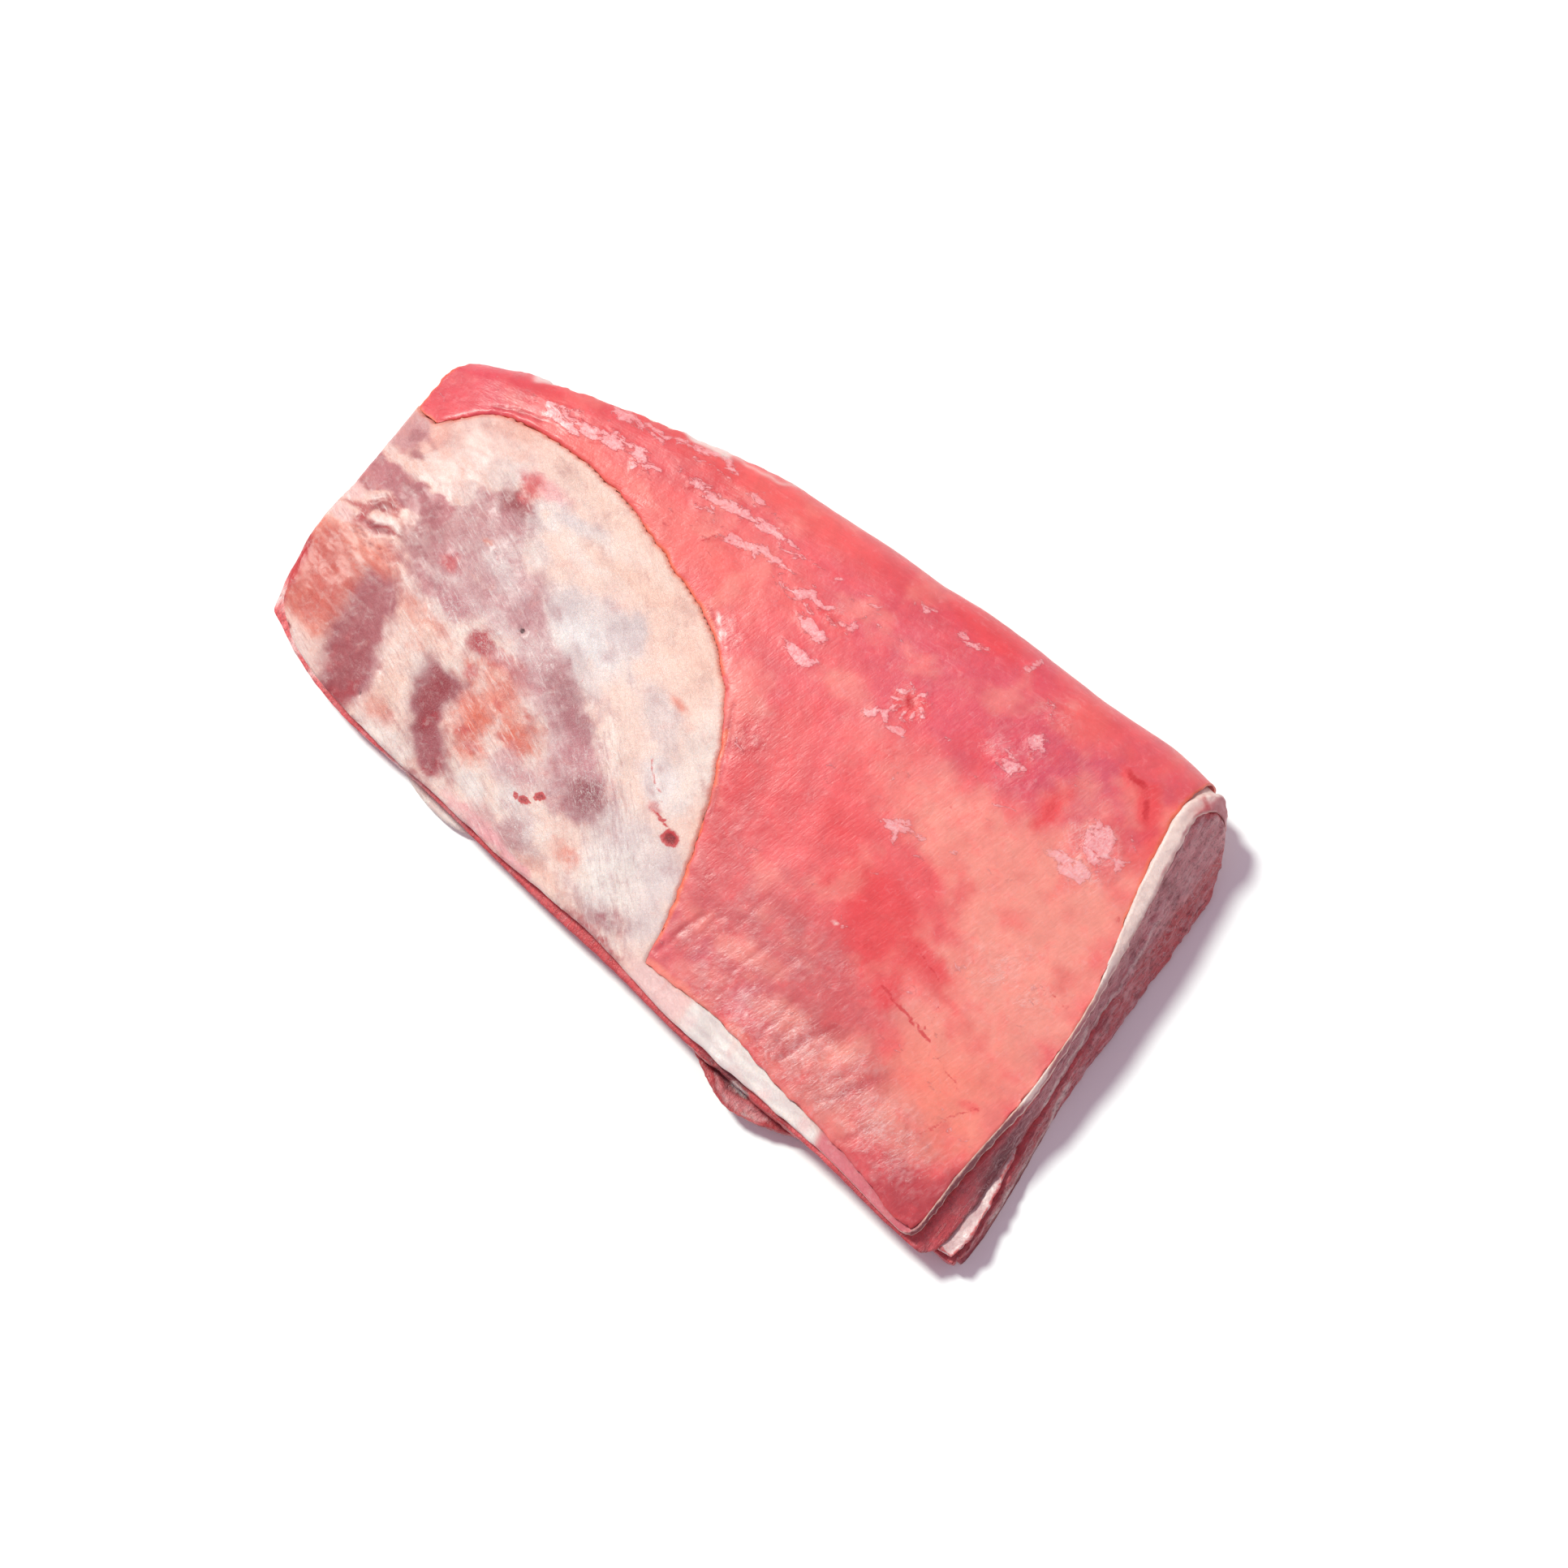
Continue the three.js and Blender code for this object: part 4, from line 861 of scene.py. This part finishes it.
FAT_GLOSS = [
    (-91, 25, 6, 3, 0, 0.6), (-67, -11, 7, 4, -15, 1.0), (-95, 5, 6, 3, -25, 0.8), (-60, 2, 12, 8, 0, 0.5),
    (-42, -50, 14, 8, -28, 0.7), (60, -71, 22, 4, -3, 1.0), (-120, 8, 8, 10, 0, 0.3),
    (-30, -30, 14, 8, -30, 0.6), (-84, -14, 14, 6, -8, 0.6), (-100, -16, 16, 4, -3, 0.7),
    (0, -45, 12, 14, 0, 0.4),
]
# Painted shade: how much the lobe's colour is darkened at the left end, where it faces the key light.
LOBE_PAINTED_SHADE = np.array([0.05, 0.2, 0.21])
# The white band at the cut end: y and width.
BAND_WIDTHS = [(-80, 0.9), (-32, 0.9), (-26, 3.4), (-18, 3.2), (-12, 1.3), (8, 1.5), (22, 3.4), (36, 5.6),
               (70, 6.0), (78, 5.6), (84, 4.4), (88, 2.6), (92, 1.0)]
WIDEST_BAND = 6.0


def band_width(y):
    """How wide the white band under the skin shows at the cut end."""
    places, widths = zip(*BAND_WIDTHS)
    return np.interp(y, places, widths)


def end_lift(piece, depth, least, most):
    """How far the cut end stands up, by depth below the skin's edge, so that the band lies level with it."""
    points = points_of(piece)
    width = band_width(points[:, 1])
    share = width / WIDEST_BAND
    lift = 1.9 * (0.7 + 0.3 * share) + 2.2 * share * np.clip(depth / width, 0, 1)
    lift *= smooth((width + 10 - depth) / 9, 0, 1)
    return lift * smooth(normals_of(piece)[:, 0], least, most) * smooth(points[:, 0], 100, 110)


def fat_fields(piece, depth, open_share):
    """Paints the lobe's colours, pits and lines, and returns its own relief."""
    points = points_of(piece)
    normals = normals_of(piece)
    top = smooth(normals[:, 2], -0.2, 0.15)
    spots = seen(points)
    loose = bent(spots, 12, 2.2, 35)
    torn = bent(spots, 4, 1.1, 45)
    fine = bent(spots, 3, 0.6, 46)
    x, y = spots.T
    at_end = smooth(normals[:, 0], 0.22, 0.42) * smooth(points[:, 0], 100, 110)
    clean = np.maximum(patch(spots, CLEAN_STRIP, 1.5), at_end)
    show = top * (1 - clean)
    slant = smooth(x + 0.6 * y, -75, -45)
    flow = (1 - slant) * fibres(torn, -22, 9, 1.5, 53) + slant * fibres(torn, -42, 9, 1.5, 54)
    web = (1 - slant) * ridges(torn, -20, 6, 2.4, 57) + slant * ridges(torn, -48, 6, 2.2, 58)
    grain = 0.8 * rough_waves(spots, 8, 4, 55) + 0.55 * flow
    open_zone = patch(loose, OPEN_ZONE, 4.0) * show
    ribs = np.maximum(patch(loose, RIB_GAP_1, 5.5), patch(loose, RIB_GAP_2, 5.5))
    rib_lean = patch(loose, RIB_LEAN, 4.0)
    rib_fibre = fibres(fine, -6, 26, 1.5, 59)
    tears = strokes(torn, FAT_TEARS)
    pits = blobs(spots, FAT_PITS)
    folds = strokes(fine, FAT_FOLDS)
    veins = strokes(fine, FAT_VEINS)
    gloss = np.clip(blobs(loose, FAT_GLOSS) + 0.25 * open_zone, 0, 1)
    coat = Coat(points, CREAM)
    coat.ovals(loose, grain, LOBE_WASHES)
    coat.lay(MAUVE_GREY, open_zone * smooth(grain, -0.1, 0.9) * 0.4)
    mauve = patch(loose, LOBE_MAUVE, 5.0)
    coat.lay(MAUVE_GREY, smooth(mauve + 0.3 * grain, 0.15, 0.8) * 0.95)
    coat.lay(MAUVE_ROSE, mauve * smooth(-flow, 0.0, 0.7) * 0.35)
    coat.lay(CORAL_FAT, smooth(rib_lean + 0.2 * grain, 0.1, 0.9))
    coat.lay(PALE_CREAM, rib_lean * smooth(rib_fibre, -0.1, 0.5) * 0.25)
    coat.lay(PEACH, rib_lean * smooth(y, -24, -14) * 0.3)
    coat.ovals(torn, 1.4 * grain, OPEN_WASHES)
    gap = smooth(ribs + 0.3 * grain, -0.1, 0.75)
    coat.lay(PLUM, gap)
    coat.lay(RIB_DARK, gap * smooth(ribs + 0.3 * rough_waves(spots, 7, 3, 56), 0.3, 1.0))
    coat.lay(RIB_RED, gap * smooth(rough_waves(spots, 6, 3, 60) - 0.04 * (y + 50), 0.1, 0.7) * 0.55)
    coat.lay(MAUVE_ROSE, smooth(y, -70, -22) * patch(loose, RIB_GAP_1, 3) * 0.5)
    film = np.maximum(web, ridges(torn, 35, 9, 2.6, 82)) * smooth(rough_waves(spots, 14, 3, 83), -0.5, 0.3)
    coat.lay(FAT_AND_GLINT_WHITE, open_zone * film * 0.4 * (1 - 0.9 * gap) * (1 - 0.8 * rib_lean))
    coat.lay(PALE_CREAM, smooth(folds, 0.4, 0.9) * show * 0.5)
    coat.ovals(torn, 1.4 * grain, LOBE_SPOTS)
    coat.lay(PALE_CREAM, rib_lean * smooth(fibres(fine, -6, 26, 1.1, 58), 0.1, 0.5) * 0.2)
    flap = patch(torn, PLUM_FLAP, 1.2)
    coat.lay(MAUVE_ROSE, smooth(flap + 0.15 * grain, 0.35, 0.6) * 0.9)
    coat.lay(PLUM, flap * smooth(grain, -0.5, 0.5) * 0.85)
    torn_cream = smooth(patch(torn, TORN_CREAM, 1.2) + 0.2 * grain, 0.35, 0.6)
    coat.lay(PALE_CREAM, torn_cream * 0.7)
    coat.lay(WARM_CREAM, torn_cream * smooth(-flow, 0.0, 0.6) * 0.6)
    raised = np.zeros(len(points))
    for colour, soft, strength, stand, outline in END_PATCHES:
        share = smooth(patch(fine, outline, soft) + 0.15 * grain, 0.15, 0.85)
        coat.lay(colour, share * strength)
        raised += share * (stand - raised)
    coat.lay(RIB_DARK, smooth(tears, 0.15, 0.7))
    strip_grain = fibres(spots, -3, 9, 1.8, 68)
    coat.lay(FAT_AND_GLINT_WHITE, clean * 0.95)
    coat.lay(LILAC, clean * smooth(strip_grain, -0.3, 0.5) * 0.75)
    coat.lay(FILM_PINK, clean * smooth(waves(points, 8, 62), 0.1, 0.7) * 0.4)
    coat.lay(STRIP_PINK, show * smooth(x, 12, 22) * smooth(-x, -48, -34) * smooth(-y, 63, 66) * 0.7)
    coat.lay(ROSE, show * smooth(x, 86, 96) * smooth(-y, 60, 70) * 0.8)
    coat.lay(ORANGE_FAT, show * smooth(-depth, -1.7, -0.6) * smooth(-x, -20, -10) * 0.6)
    band = at_end * smooth(depth, band_width(y) - 0.3, band_width(y) + 0.5)
    coat.lay(END_CREAM, at_end)
    coat.lay(CREAM, at_end * smooth(grain, 0.1, 0.9) * 0.4)
    # Peach on the narrow band at the cut end: its own orange-cream, laid strongly as painted light so that the
    # face in shade does not show grey.
    coat.lay(PEACH, at_end * smooth(-band_width(y), -2.8, -1.6) * 0.8)
    coat.lay(LEAN_MAUVE, band * smooth(y, 5, 45))
    fold_end = at_end * smooth(y, 70, 80) * smooth(-points[:, 2], -31, -27)
    coat.lay(LEAN_RED, np.maximum(band * smooth(y, 76, 84), fold_end) * smooth(grain, -0.6, 0.4) * 0.9)
    coat.lay(LEAN_MAUVE, fold_end * smooth(rough_waves(points, 4, 3, 78), 0.0, 0.6) * 0.6)
    coat.lay(LEAN_PLUM, band * smooth(-y, -40, 0))
    coat.lay(LEAN_DARK, band * smooth(-y, 25, 40))
    coat.lay(CREAM, 1 - top)
    coat.lay(MAUVE_GREY, (1 - top) * smooth(rough_waves(points, 22, 3, 63), 0.1, 0.7) * 0.6)
    coat.vary(0.04 * rough_waves(spots, 10, 3, 64) + 0.04 * flow * open_zone)
    # Painted shade: the lobe's colour is darkened at the left end, which faces the key light.
    lit_end = smooth(-x, 92, 126) * show
    paint(piece, coat.colours * (1 - lit_end[:, None] * LOBE_PAINTED_SHADE),
          open=open_zone * (1 - 0.95 * gap) * (1 - 0.8 * rib_lean) * (1 - 0.7 * flap), slant=slant,
          gloss=gloss * top - 1.2 * lit_end, vein=veins * show, blood=blobs(fine, FAT_BLOOD) * show,
          pit=pits * show)
    draped = (1 - slant) * fibres(loose, -24, 20, 5.5, 71) + slant * fibres(loose, -46, 20, 5.5, 72)
    relief = -0.35 * gap - 0.4 * smooth(tears, 0.2, 0.8) - 0.9 * pits + 0.3 * folds - 0.1 * veins
    relief += 0.14 * web * open_zone + 0.1 * flow * open_zone + 0.12 * gloss * ridges(torn, 30, 3.5, 1.6, 65)
    relief += 0.55 * draped * open_zone * (1 - gap) + 0.35 * waves(points, 11, 66)
    relief += 0.06 * rough_waves(points, 4, 2, 67) + 0.1 * torn_cream + raised + 0.05 * rib_lean * rib_fibre
    relief *= 1 - 0.45 * lit_end
    relief += clean * (0.5 * smooth(strip_grain, -0.2, 0.6) + 0.3 * waves(points, 5, 69))
    return relief * open_share * (show + 0.8 * clean) + at_end * 0.5 * np.abs(waves(points, 2.6, 70))


def fat_finish():
    f = Finish("fat_cap_moist")
    mid = f.noise(5, 4, 0.6, 0.6)
    fine = f.noise(1.2, 4, 0.65)
    grit = f.noise(0.5, 2, 0.6)
    left = f.noise(0.9, 4, 0.62, 0.9, turn=-22, stretch=7)
    right = f.noise(0.9, 4, 0.62, 0.9, turn=-42, stretch=7)
    fibre = f.between(left, right, f.field("slant"))
    zone = f.field("open")
    gloss = f.field("gloss")
    f.lay(FAT_AND_GLINT_WHITE, f.ramp(f.noise(3.2, 6, 0.65, 0.4), 0.5, 0.75, 0.0, 0.25))
    f.lay(PLUM, f.times(f.ramp(fibre, 0.48, 0.34), f.times(zone, 0.3)))
    f.lay(FAT_AND_GLINT_WHITE, f.times(f.ramp(fibre, 0.55, 0.72), f.ramp(zone, 0.0, 1.0, 0.05, 0.5)))
    threads_and_glints = f.creases(2.4, turn=-30, stretch=3.0, width=0.03, distortion=1.8, detail=3.0)
    lace = f.creases(1.2, turn=20, stretch=1.5, width=0.05, distortion=1.4)
    web = f.larger(threads_and_glints, f.times(lace, 0.6))
    # White web lines of fibre, laid stronger in the glossy patches, where they are partly painted highlights.
    f.lay(FAT_AND_GLINT_WHITE, f.times(web, f.ramp(f.sum(gloss, f.swing(mid, 0.5)), 0.1, 0.9, 0.04, 0.5)))
    f.lay(CORAL_FAT, f.ramp(f.noise(9, 3, 0.6, 0.5), 0.56, 0.72, 0.0, 0.16))
    f.lay(VEIN_RED, f.ramp(f.ragged("vein", fine, 0.35), 0.35, 0.85, 0.0, 0.65))
    spot = f.ragged("blood", fine, 0.4)
    f.lay(BLOOD, f.ramp(spot, 0.2, 0.5, 0.0, 0.85))
    f.lay(DARK_SPOT, f.ramp(spot, 0.6, 1.05, 0.0, 0.7))
    # Painted shade: the pits are coloured near black, like the inside of a hole.
    f.lay(DARK_SPOT, f.ramp(f.field("pit"), 0.35, 0.85, 0.0, 0.85))
    f.shade(f.sum(f.ramp(fine, 0.3, 0.7, 0.97, 1.03), f.swing(fibre, 0.06)))
    rough = f.sum(f.ramp(mid, 0.3, 0.7, 0.42, 0.56), f.times(gloss, -0.14))
    strands = f.times(f.times(fibre, zone), 0.8)
    height = f.sum(f.times(fine, 0.4), strands, f.times(web, 0.2), f.times(grit, 0.2))
    return f.close(height, rough, depth=0.45, bump=0.65, **FAT_GLOW)


# ---------------------------------------------------------------- the lean and the inner fat

TONGUE = [(44, -74), (84, -74), (88, -84), (74, -92), (50, -86)]
TONGUE_LINING = [(56, -77), (62, -80.5), (70, -79), (78, -79), (77, -81), (72, -83.5), (65, -83), (60, -81.5)]
TONGUE_HOLLOW = [(49, -75.5), (56, -74), (66, -74), (70, -78), (66, -79.3), (62, -79.6), (57, -77.4)]
# A painted highlight: a white glint line on the tongue.
TONGUE_GLINT = [(1.0, 1.0, [(63, -77), (68, -77.6)])]
LEAN_LINES = [(0.7, 1.0, [(141.5, -14), (143.5, -25), (145.5, -38), (147.5, -52), (148.2, -62)]),
              (0.6, 0.8, [(138.6, -16), (140, -26), (142, -36)]),
              (0.6, 0.7, [(136, 2), (137.6, -8), (138.6, -18)]),
              (0.7, 0.6, [(133, 42), (134.4, 30), (136, 16), (137, 4)])]
SEAM_DEPTH = 8.2
SEAM_WIDTH = 0.7


def lean_fields(piece, depth):
    """Paints the cut end apart from the red rims, and returns the lean's own relief."""
    points = points_of(piece)
    normals = normals_of(piece)
    spots = seen(points)
    x, y = spots.T
    z = points[:, 2]
    grain = rough_waves(points, 7, 4, 75)
    end = smooth(normals[:, 0], 0.3, 0.7) * smooth(points[:, 0], 90, 105)
    lower = smooth(-z, -12.5, -10.5) * end
    rag = smooth(x, 133, 138) * smooth(y, 22, 34) * smooth(-normals[:, 2], -0.9, -0.5)
    streak = waves(np.column_stack([points[:, 1] / 5, points[:, 2], points[:, 0] / 3]), 1.3, 71)
    coat = Coat(points, LEAN_ROSE)
    coat.lay(LEAN_RED, smooth(grain, -0.3, 0.7) * 0.7)
    coat.lay(FILM_PINK, smooth(waves(points, 4, 76), 0.2, 0.8) * 0.5)
    coat.lay(LEAN_PLUM, end)
    coat.lay(LEAN_MAUVE, end * smooth(y + 4 * grain, 5, 45) * 0.9)
    coat.lay(LEAN_DARK, end * smooth(-(y + 5 * grain), 20, 45) * 0.8)
    coat.lay(LEAN_RED, lower * 0.65)
    coat.lay(LEAN_PALE, end * smooth(np.abs(streak), 0.25, 0.6) * 0.4)
    coat.lay(LEAN_DARK, end * smooth(grain, 0.1, 0.8) * 0.7)
    coat.lay(LEAN_PALE, end * smooth(rough_waves(points, 3, 3, 88), 0.1, 0.8) * 0.5)
    coat.lay(LEAN_DEEP, end * smooth(-y, 30, 46) * smooth(z, 10, 13) * 0.8)
    coat.lay(LEAN_RED, rag * smooth(grain, -0.6, 0.3) * 0.9)
    coat.lay(LEAN_RED, end * smooth(-y, 70, 78) * 0.7)
    upper_band = end * smooth(y, 38, 50)
    coat.lay(LEAN_ROSY, upper_band * smooth(-depth, -8.5, -7.5) * 0.8)
    seam = upper_band * np.clip(1 - np.abs(depth - SEAM_DEPTH - waves(points, 6, 79)) / SEAM_WIDTH, 0, 1)
    coat.lay(LEAN_DARK, seam * 0.8)
    tongue = patch(spots, TONGUE, 1.0) * smooth(-y, 73, 75)
    lining = patch(spots, TONGUE_LINING, 0.8) * tongue
    hollow = patch(spots, TONGUE_HOLLOW, 0.8) * tongue
    coat.lay(LEAN_RED, tongue * 0.9)
    coat.lay(TONGUE_RED, tongue * smooth(grain, -0.1, 0.5) * 0.7)
    coat.lay(LEAN_MAUVE, lining * 0.75)
    coat.lay(LEAN_PALE, lining * smooth(waves(points, 2.4, 86), 0.1, 0.6) * 0.7)
    # Painted shade: the hollow under the tongue is darkened.
    coat.lay(LEAN_DEEP, hollow * 0.9)
    coat.lay(LEAN_RED, hollow * smooth(fibres(spots, -60, 5, 0.9, 87), 0.1, 0.5) * 0.6)
    # Painted highlight: the white glint line on the tongue.
    coat.lay(FAT_AND_GLINT_WHITE, tongue * strokes(spots, TONGUE_GLINT))
    coat.lay(PALE_CREAM, end * strokes(bent(spots, 5, 0.5, 85), LEAN_LINES) * 0.9)
    front = (1 - end) * (1 - tongue) * smooth(-y, 30, 40)
    cover = front * smooth(waves(points[:, :2], 18, 83) + 0.4 * waves(points[:, :2], 5, 84), -0.1, 0.35)
    coat.lay(FILM_AND_GLINT_WHITE, cover * smooth(-x, 50, 70) * 0.75)
    coat.lay(CORNER_RED, front * smooth(x, 100, 108) * 0.6)
    coat.lay(LEAN_RED, front * smooth(x, -60, -45) * smooth(-x, -90, -84) * 0.6)
    coat.vary(0.07 * streak * end + 0.05 * grain)
    paint(piece, coat.colours, end=end)
    relief = end * (0.35 * np.abs(streak) + 0.55 * rough_waves(points, 4, 3, 72)) + 0.2 * waves(points, 4, 73)
    relief += rag * (0.9 * np.abs(waves(points, 3.6, 74)) + 0.4 * np.abs(waves(points, 1.9, 77))) - 0.5 * seam
    relief += tongue * 0.6 * np.abs(waves(points, 2.4, 78)) * (1 - lining) - 0.5 * hollow - 0.4 * lining
    return relief + 0.5 * front * smooth(normals[:, 2], 0.1, 0.5) * smooth(z, 8, 10)


def lean_finish():
    f = Finish("lean_meat_moist")
    mid = f.noise(4, 4, 0.62, 0.6)
    fine = f.noise(1.0, 4, 0.68)
    fibre = f.noise(0.8, 4, 0.62, 0.6, turn=92, stretch=5)
    seams = f.creases(5.0, turn=88, stretch=3.0, width=0.025, distortion=1.6, detail=3.0)
    end = f.field("end")
    f.lay(LEAN_PALE, f.times(f.ramp(fibre, 0.52, 0.72), f.ramp(end, 0.0, 1.0, 0.12, 0.5)))
    f.lay(LEAN_DARK, f.times(f.ramp(f.noise(2.0, 5, 0.66), 0.5, 0.36), f.ramp(end, 0.0, 1.0, 0.25, 0.5)))
    f.lay(LEAN_PALE, f.times(seams, f.ramp(end, 0.0, 1.0, 0.15, 0.55)))
    f.shade(f.sum(f.ramp(fine, 0.3, 0.7, 0.9, 1.1), f.swing(fibre, 0.18), f.swing(mid, 0.14)))
    grit = f.noise(0.5, 2, 0.6)
    height = f.sum(f.times(fine, 0.6), f.times(fibre, 0.7), f.times(grit, 0.3), f.times(seams, 0.3))
    return f.close(height, f.ramp(fine, 0.3, 0.7, 0.26, 0.44), depth=0.55, bump=0.75, **FLESH_GLOW)


def inner_fat_finish():
    f = Finish("inner_fat_moist", SHADED_WEDGE_WHITE)
    mid = f.noise(4, 4, 0.6, 0.6)
    fine = f.noise(1.2, 3, 0.6)
    f.lay(LEAN_PALE, f.ramp(mid, 0.45, 0.7, 0.0, 0.6))
    f.lay(LEAN_ROSE, f.ramp(f.noise(6, 3), 0.55, 0.75, 0.0, 0.4))
    f.lay(LEAN_RED, f.ramp(f.ragged("rim", f.noise(2.4, 4, 0.65), 1.2), 0.45, 0.95, 0.0, 0.85))
    f.shade(f.ramp(fine, 0.3, 0.7, 0.93, 1.03))
    height = f.sum(fine, f.times(mid, 0.6))
    return f.close(height, f.ramp(fine, 0.3, 0.7, 0.24, 0.38), depth=0.5, bump=0.6, **FAT_GLOW)


# ---------------------------------------------------------------- put the layers together

FRAY_REACH = 5.0
FRAY_AMOUNT = 0.7
FLUSH = 1.4  # how far the lobe is raised to lie level with the skin
ROOF_START = 0.4


def from_above(face):
    return face.normal.z > -0.25


def open_top(face):
    spot = face.calc_center_median()
    return face.normal.z > -0.2 and (spot.x < 30 or spot.y < -55 or spot.x > 112)


def end_or_front(face):
    return face.normal.x > 0.4 or face.calc_center_median().y < -40


def towards_end(face):
    return face.normal.x > 0.2


def fray_rim(piece, sharp):
    """Moves a piece's rim about in plan, so that its outline is uneven."""
    points = points_of(piece)
    fade = smooth(-sharp, -FRAY_REACH, 0)
    for axis, seed in ((0, 91), (1, 94)):
        shift = waves(points[:, :2], 5, seed) + 0.5 * waves(points[:, :2], 2, seed + 1)
        points[:, axis] += FRAY_AMOUNT * shift * fade
    set_points(piece, points)


def round_corner(piece, corner, radius, low=-1.0, high=99.0):
    """Rounds a piece's corner in plan, where x is largest and y least, between two heights."""
    points = points_of(piece)
    centre = np.array(corner) + (-radius, radius)
    out = np.column_stack([points[:, 0] - centre[0], centre[1] - points[:, 1]])
    near = (out.min(1) > 0) & (points[:, 2] > low) & (points[:, 2] < high)
    out[near] *= (out[near].max(1) / np.linalg.norm(out[near], axis=1))[:, None]
    points[near, 0] = centre[0] + out[near, 0]
    points[near, 1] = centre[1] - out[near, 1]
    set_points(piece, points)


def flush_lift(piece, cover, away):
    """How far the lobe is raised beside the skin, where nothing covers it."""
    points = points_of(piece)
    x, y = seen(points).T
    lobe_side = smooth(-x - 0.3 * y, -30, -20) * smooth(normals_of(piece)[:, 2], 0.3, 0.8)
    roof = BVHTree.FromPolygons([v.co for v in cover.data.vertices],
                                [p.vertices for p in cover.data.polygons])
    up = Vector((0, 0, 1))
    is_open = [roof.ray_cast(Vector(spot) - ROOF_START * up, up)[0] is None for spot in points]
    return FLUSH * np.array(is_open, float) * smooth(away, -0.3, 0.7) * lobe_side


skin = dense_copy("skin_muscle", "skin_muscle_sheet", 0.75, 0.85, from_above)
fat = dense_copy("fat_cap", "fat_cap_layer", 0.85, 0.85, open_top)
lean = dense_copy("lean_meat", "lean_meat_folded", 0.85, 0.9, end_or_front)
wedge = dense_copy("inner_fat", "inner_fat_wedge", 0.6, 1.0, towards_end)

skin_sharp = edge_distance(skin, "skin_muscle")
fray_rim(skin, skin_sharp)
round_corner(skin, (134.4, -82.9), 8.0)
round_corner(fat, (135.4, -83.2), 6.0, low=8.0)
round_corner(lean, (142.0, -83.4), 5.0, low=10.0)
round_corner(lean, (151.0, -80.0), 5.0, high=9.0)
skin_marks = [vert.co for vert in skin.data.vertices]
fat_away = nearest(skin_marks, points_of(fat))
lean_away = nearest(skin_marks, points_of(lean))

skin_push = skin_fields(skin, skin_sharp) + shared_relief(points_of(skin))
fat_push = fat_fields(fat, fat_away, smooth(fat_away, 1.2, 4.0)) + flush_lift(fat, skin, fat_away)
fat_push += shared_relief(points_of(fat))
lean_push = lean_fields(lean, lean_away)
wedge_push = 0.6 * waves(points_of(wedge), 3, 81) + 0.7 * waves(points_of(wedge), 6, 82) - 0.2
paint(wedge, rim=smooth(-edge_distance(wedge, "inner_fat"), -1.8, -0.2))
push(skin, skin_push)
push(fat, fat_push, end_lift(fat, fat_away, 0.22, 0.42))
push(lean, lean_push, end_lift(lean, lean_away, 0.1, 0.35))
push(wedge, wedge_push)

finish_piece(skin, skin_finish(), "skin_muscle")
finish_piece(fat, fat_finish(), "fat_cap")
finish_piece(lean, lean_finish(), "lean_meat")
finish_piece(wedge, inner_fat_finish(), "inner_fat")

# ---------------------------------------------------------------- floor, light and camera

HALF_FLOOR = 4.0
FLOOR_DROP = 0.0002
FLOOR_WHITE = (0.955, 0.955, 0.955, 1)
FLOOR_SHADE = (0.93, 0.93, 0.938, 1)
FLOOR_ROUGHNESS = 0.6

KEY_TOWARD = (-0.994, 0.113, 1.3)
KEY_SPREAD = 0.16
KEY_STRENGTH = 3.32
KEY_COLOUR = (0.895, 1.0, 0.915)
SKY_STRENGTH = 0.46
SKY_COLOUR = (1.0, 0.8, 0.96, 1.0)

CAMERA_BEARING = math.radians(38.5)
CAMERA_TILT = math.radians(76.0)
CAMERA_AWAY = 940.0
CAMERA_TARGET = np.array([17.852, 3.635, 15.0])
CAMERA_LENS = 70.0
CAMERA_SENSOR = 36.0
CAMERA_NEAR = 0.01


def add_object(name, data):
    made = bpy.data.objects.new(name, data)
    bpy.context.scene.collection.objects.link(made)
    return made


floor_mesh = bpy.data.meshes.new("floor")
corners = [(x * HALF_FLOOR, y * HALF_FLOOR, 0) for x, y in ((-1, -1), (1, -1), (1, 1), (-1, 1))]
floor_mesh.from_pydata(corners, [], [(0, 1, 2, 3)])
floor = add_object("floor", floor_mesh)
floor.location.z = -FLOOR_DROP
paper = Finish("floor_white", FLOOR_WHITE)
paper.lay(FLOOR_SHADE, paper.noise(60, 2))
floor_mesh.materials.append(paper.close(paper.noise(3, 2), FLOOR_ROUGHNESS, depth=0.02, bump=0.1))

key_lamp = bpy.data.lights.new("key", "SUN")
key_lamp.energy = KEY_STRENGTH
key_lamp.angle = KEY_SPREAD
key_lamp.color = KEY_COLOUR
key = add_object("key", key_lamp)
key.rotation_euler = Vector(KEY_TOWARD).to_track_quat("Z", "Y").to_euler()
world = bpy.data.worlds.new("studio")
bpy.context.scene.world = world
world.use_nodes = True
backdrop = world.node_tree.nodes["Background"]
backdrop.inputs["Color"].default_value = SKY_COLOUR
backdrop.inputs["Strength"].default_value = SKY_STRENGTH

lens = bpy.data.cameras.new("camera")
lens.lens = CAMERA_LENS
lens.sensor_width = CAMERA_SENSOR
lens.clip_start = CAMERA_NEAR
camera = add_object("camera", lens)
level = math.cos(CAMERA_TILT)
back = Vector((math.sin(CAMERA_BEARING) * level, -math.cos(CAMERA_BEARING) * level, math.sin(CAMERA_TILT)))
camera.location = Vector(CAMERA_TARGET * MM) + back * CAMERA_AWAY * MM
camera.rotation_mode = "QUATERNION"
camera.rotation_quaternion = back.to_track_quat("Z", "Y")
bpy.context.scene.camera = camera
bpy.context.scene.view_settings.view_transform = "Standard"
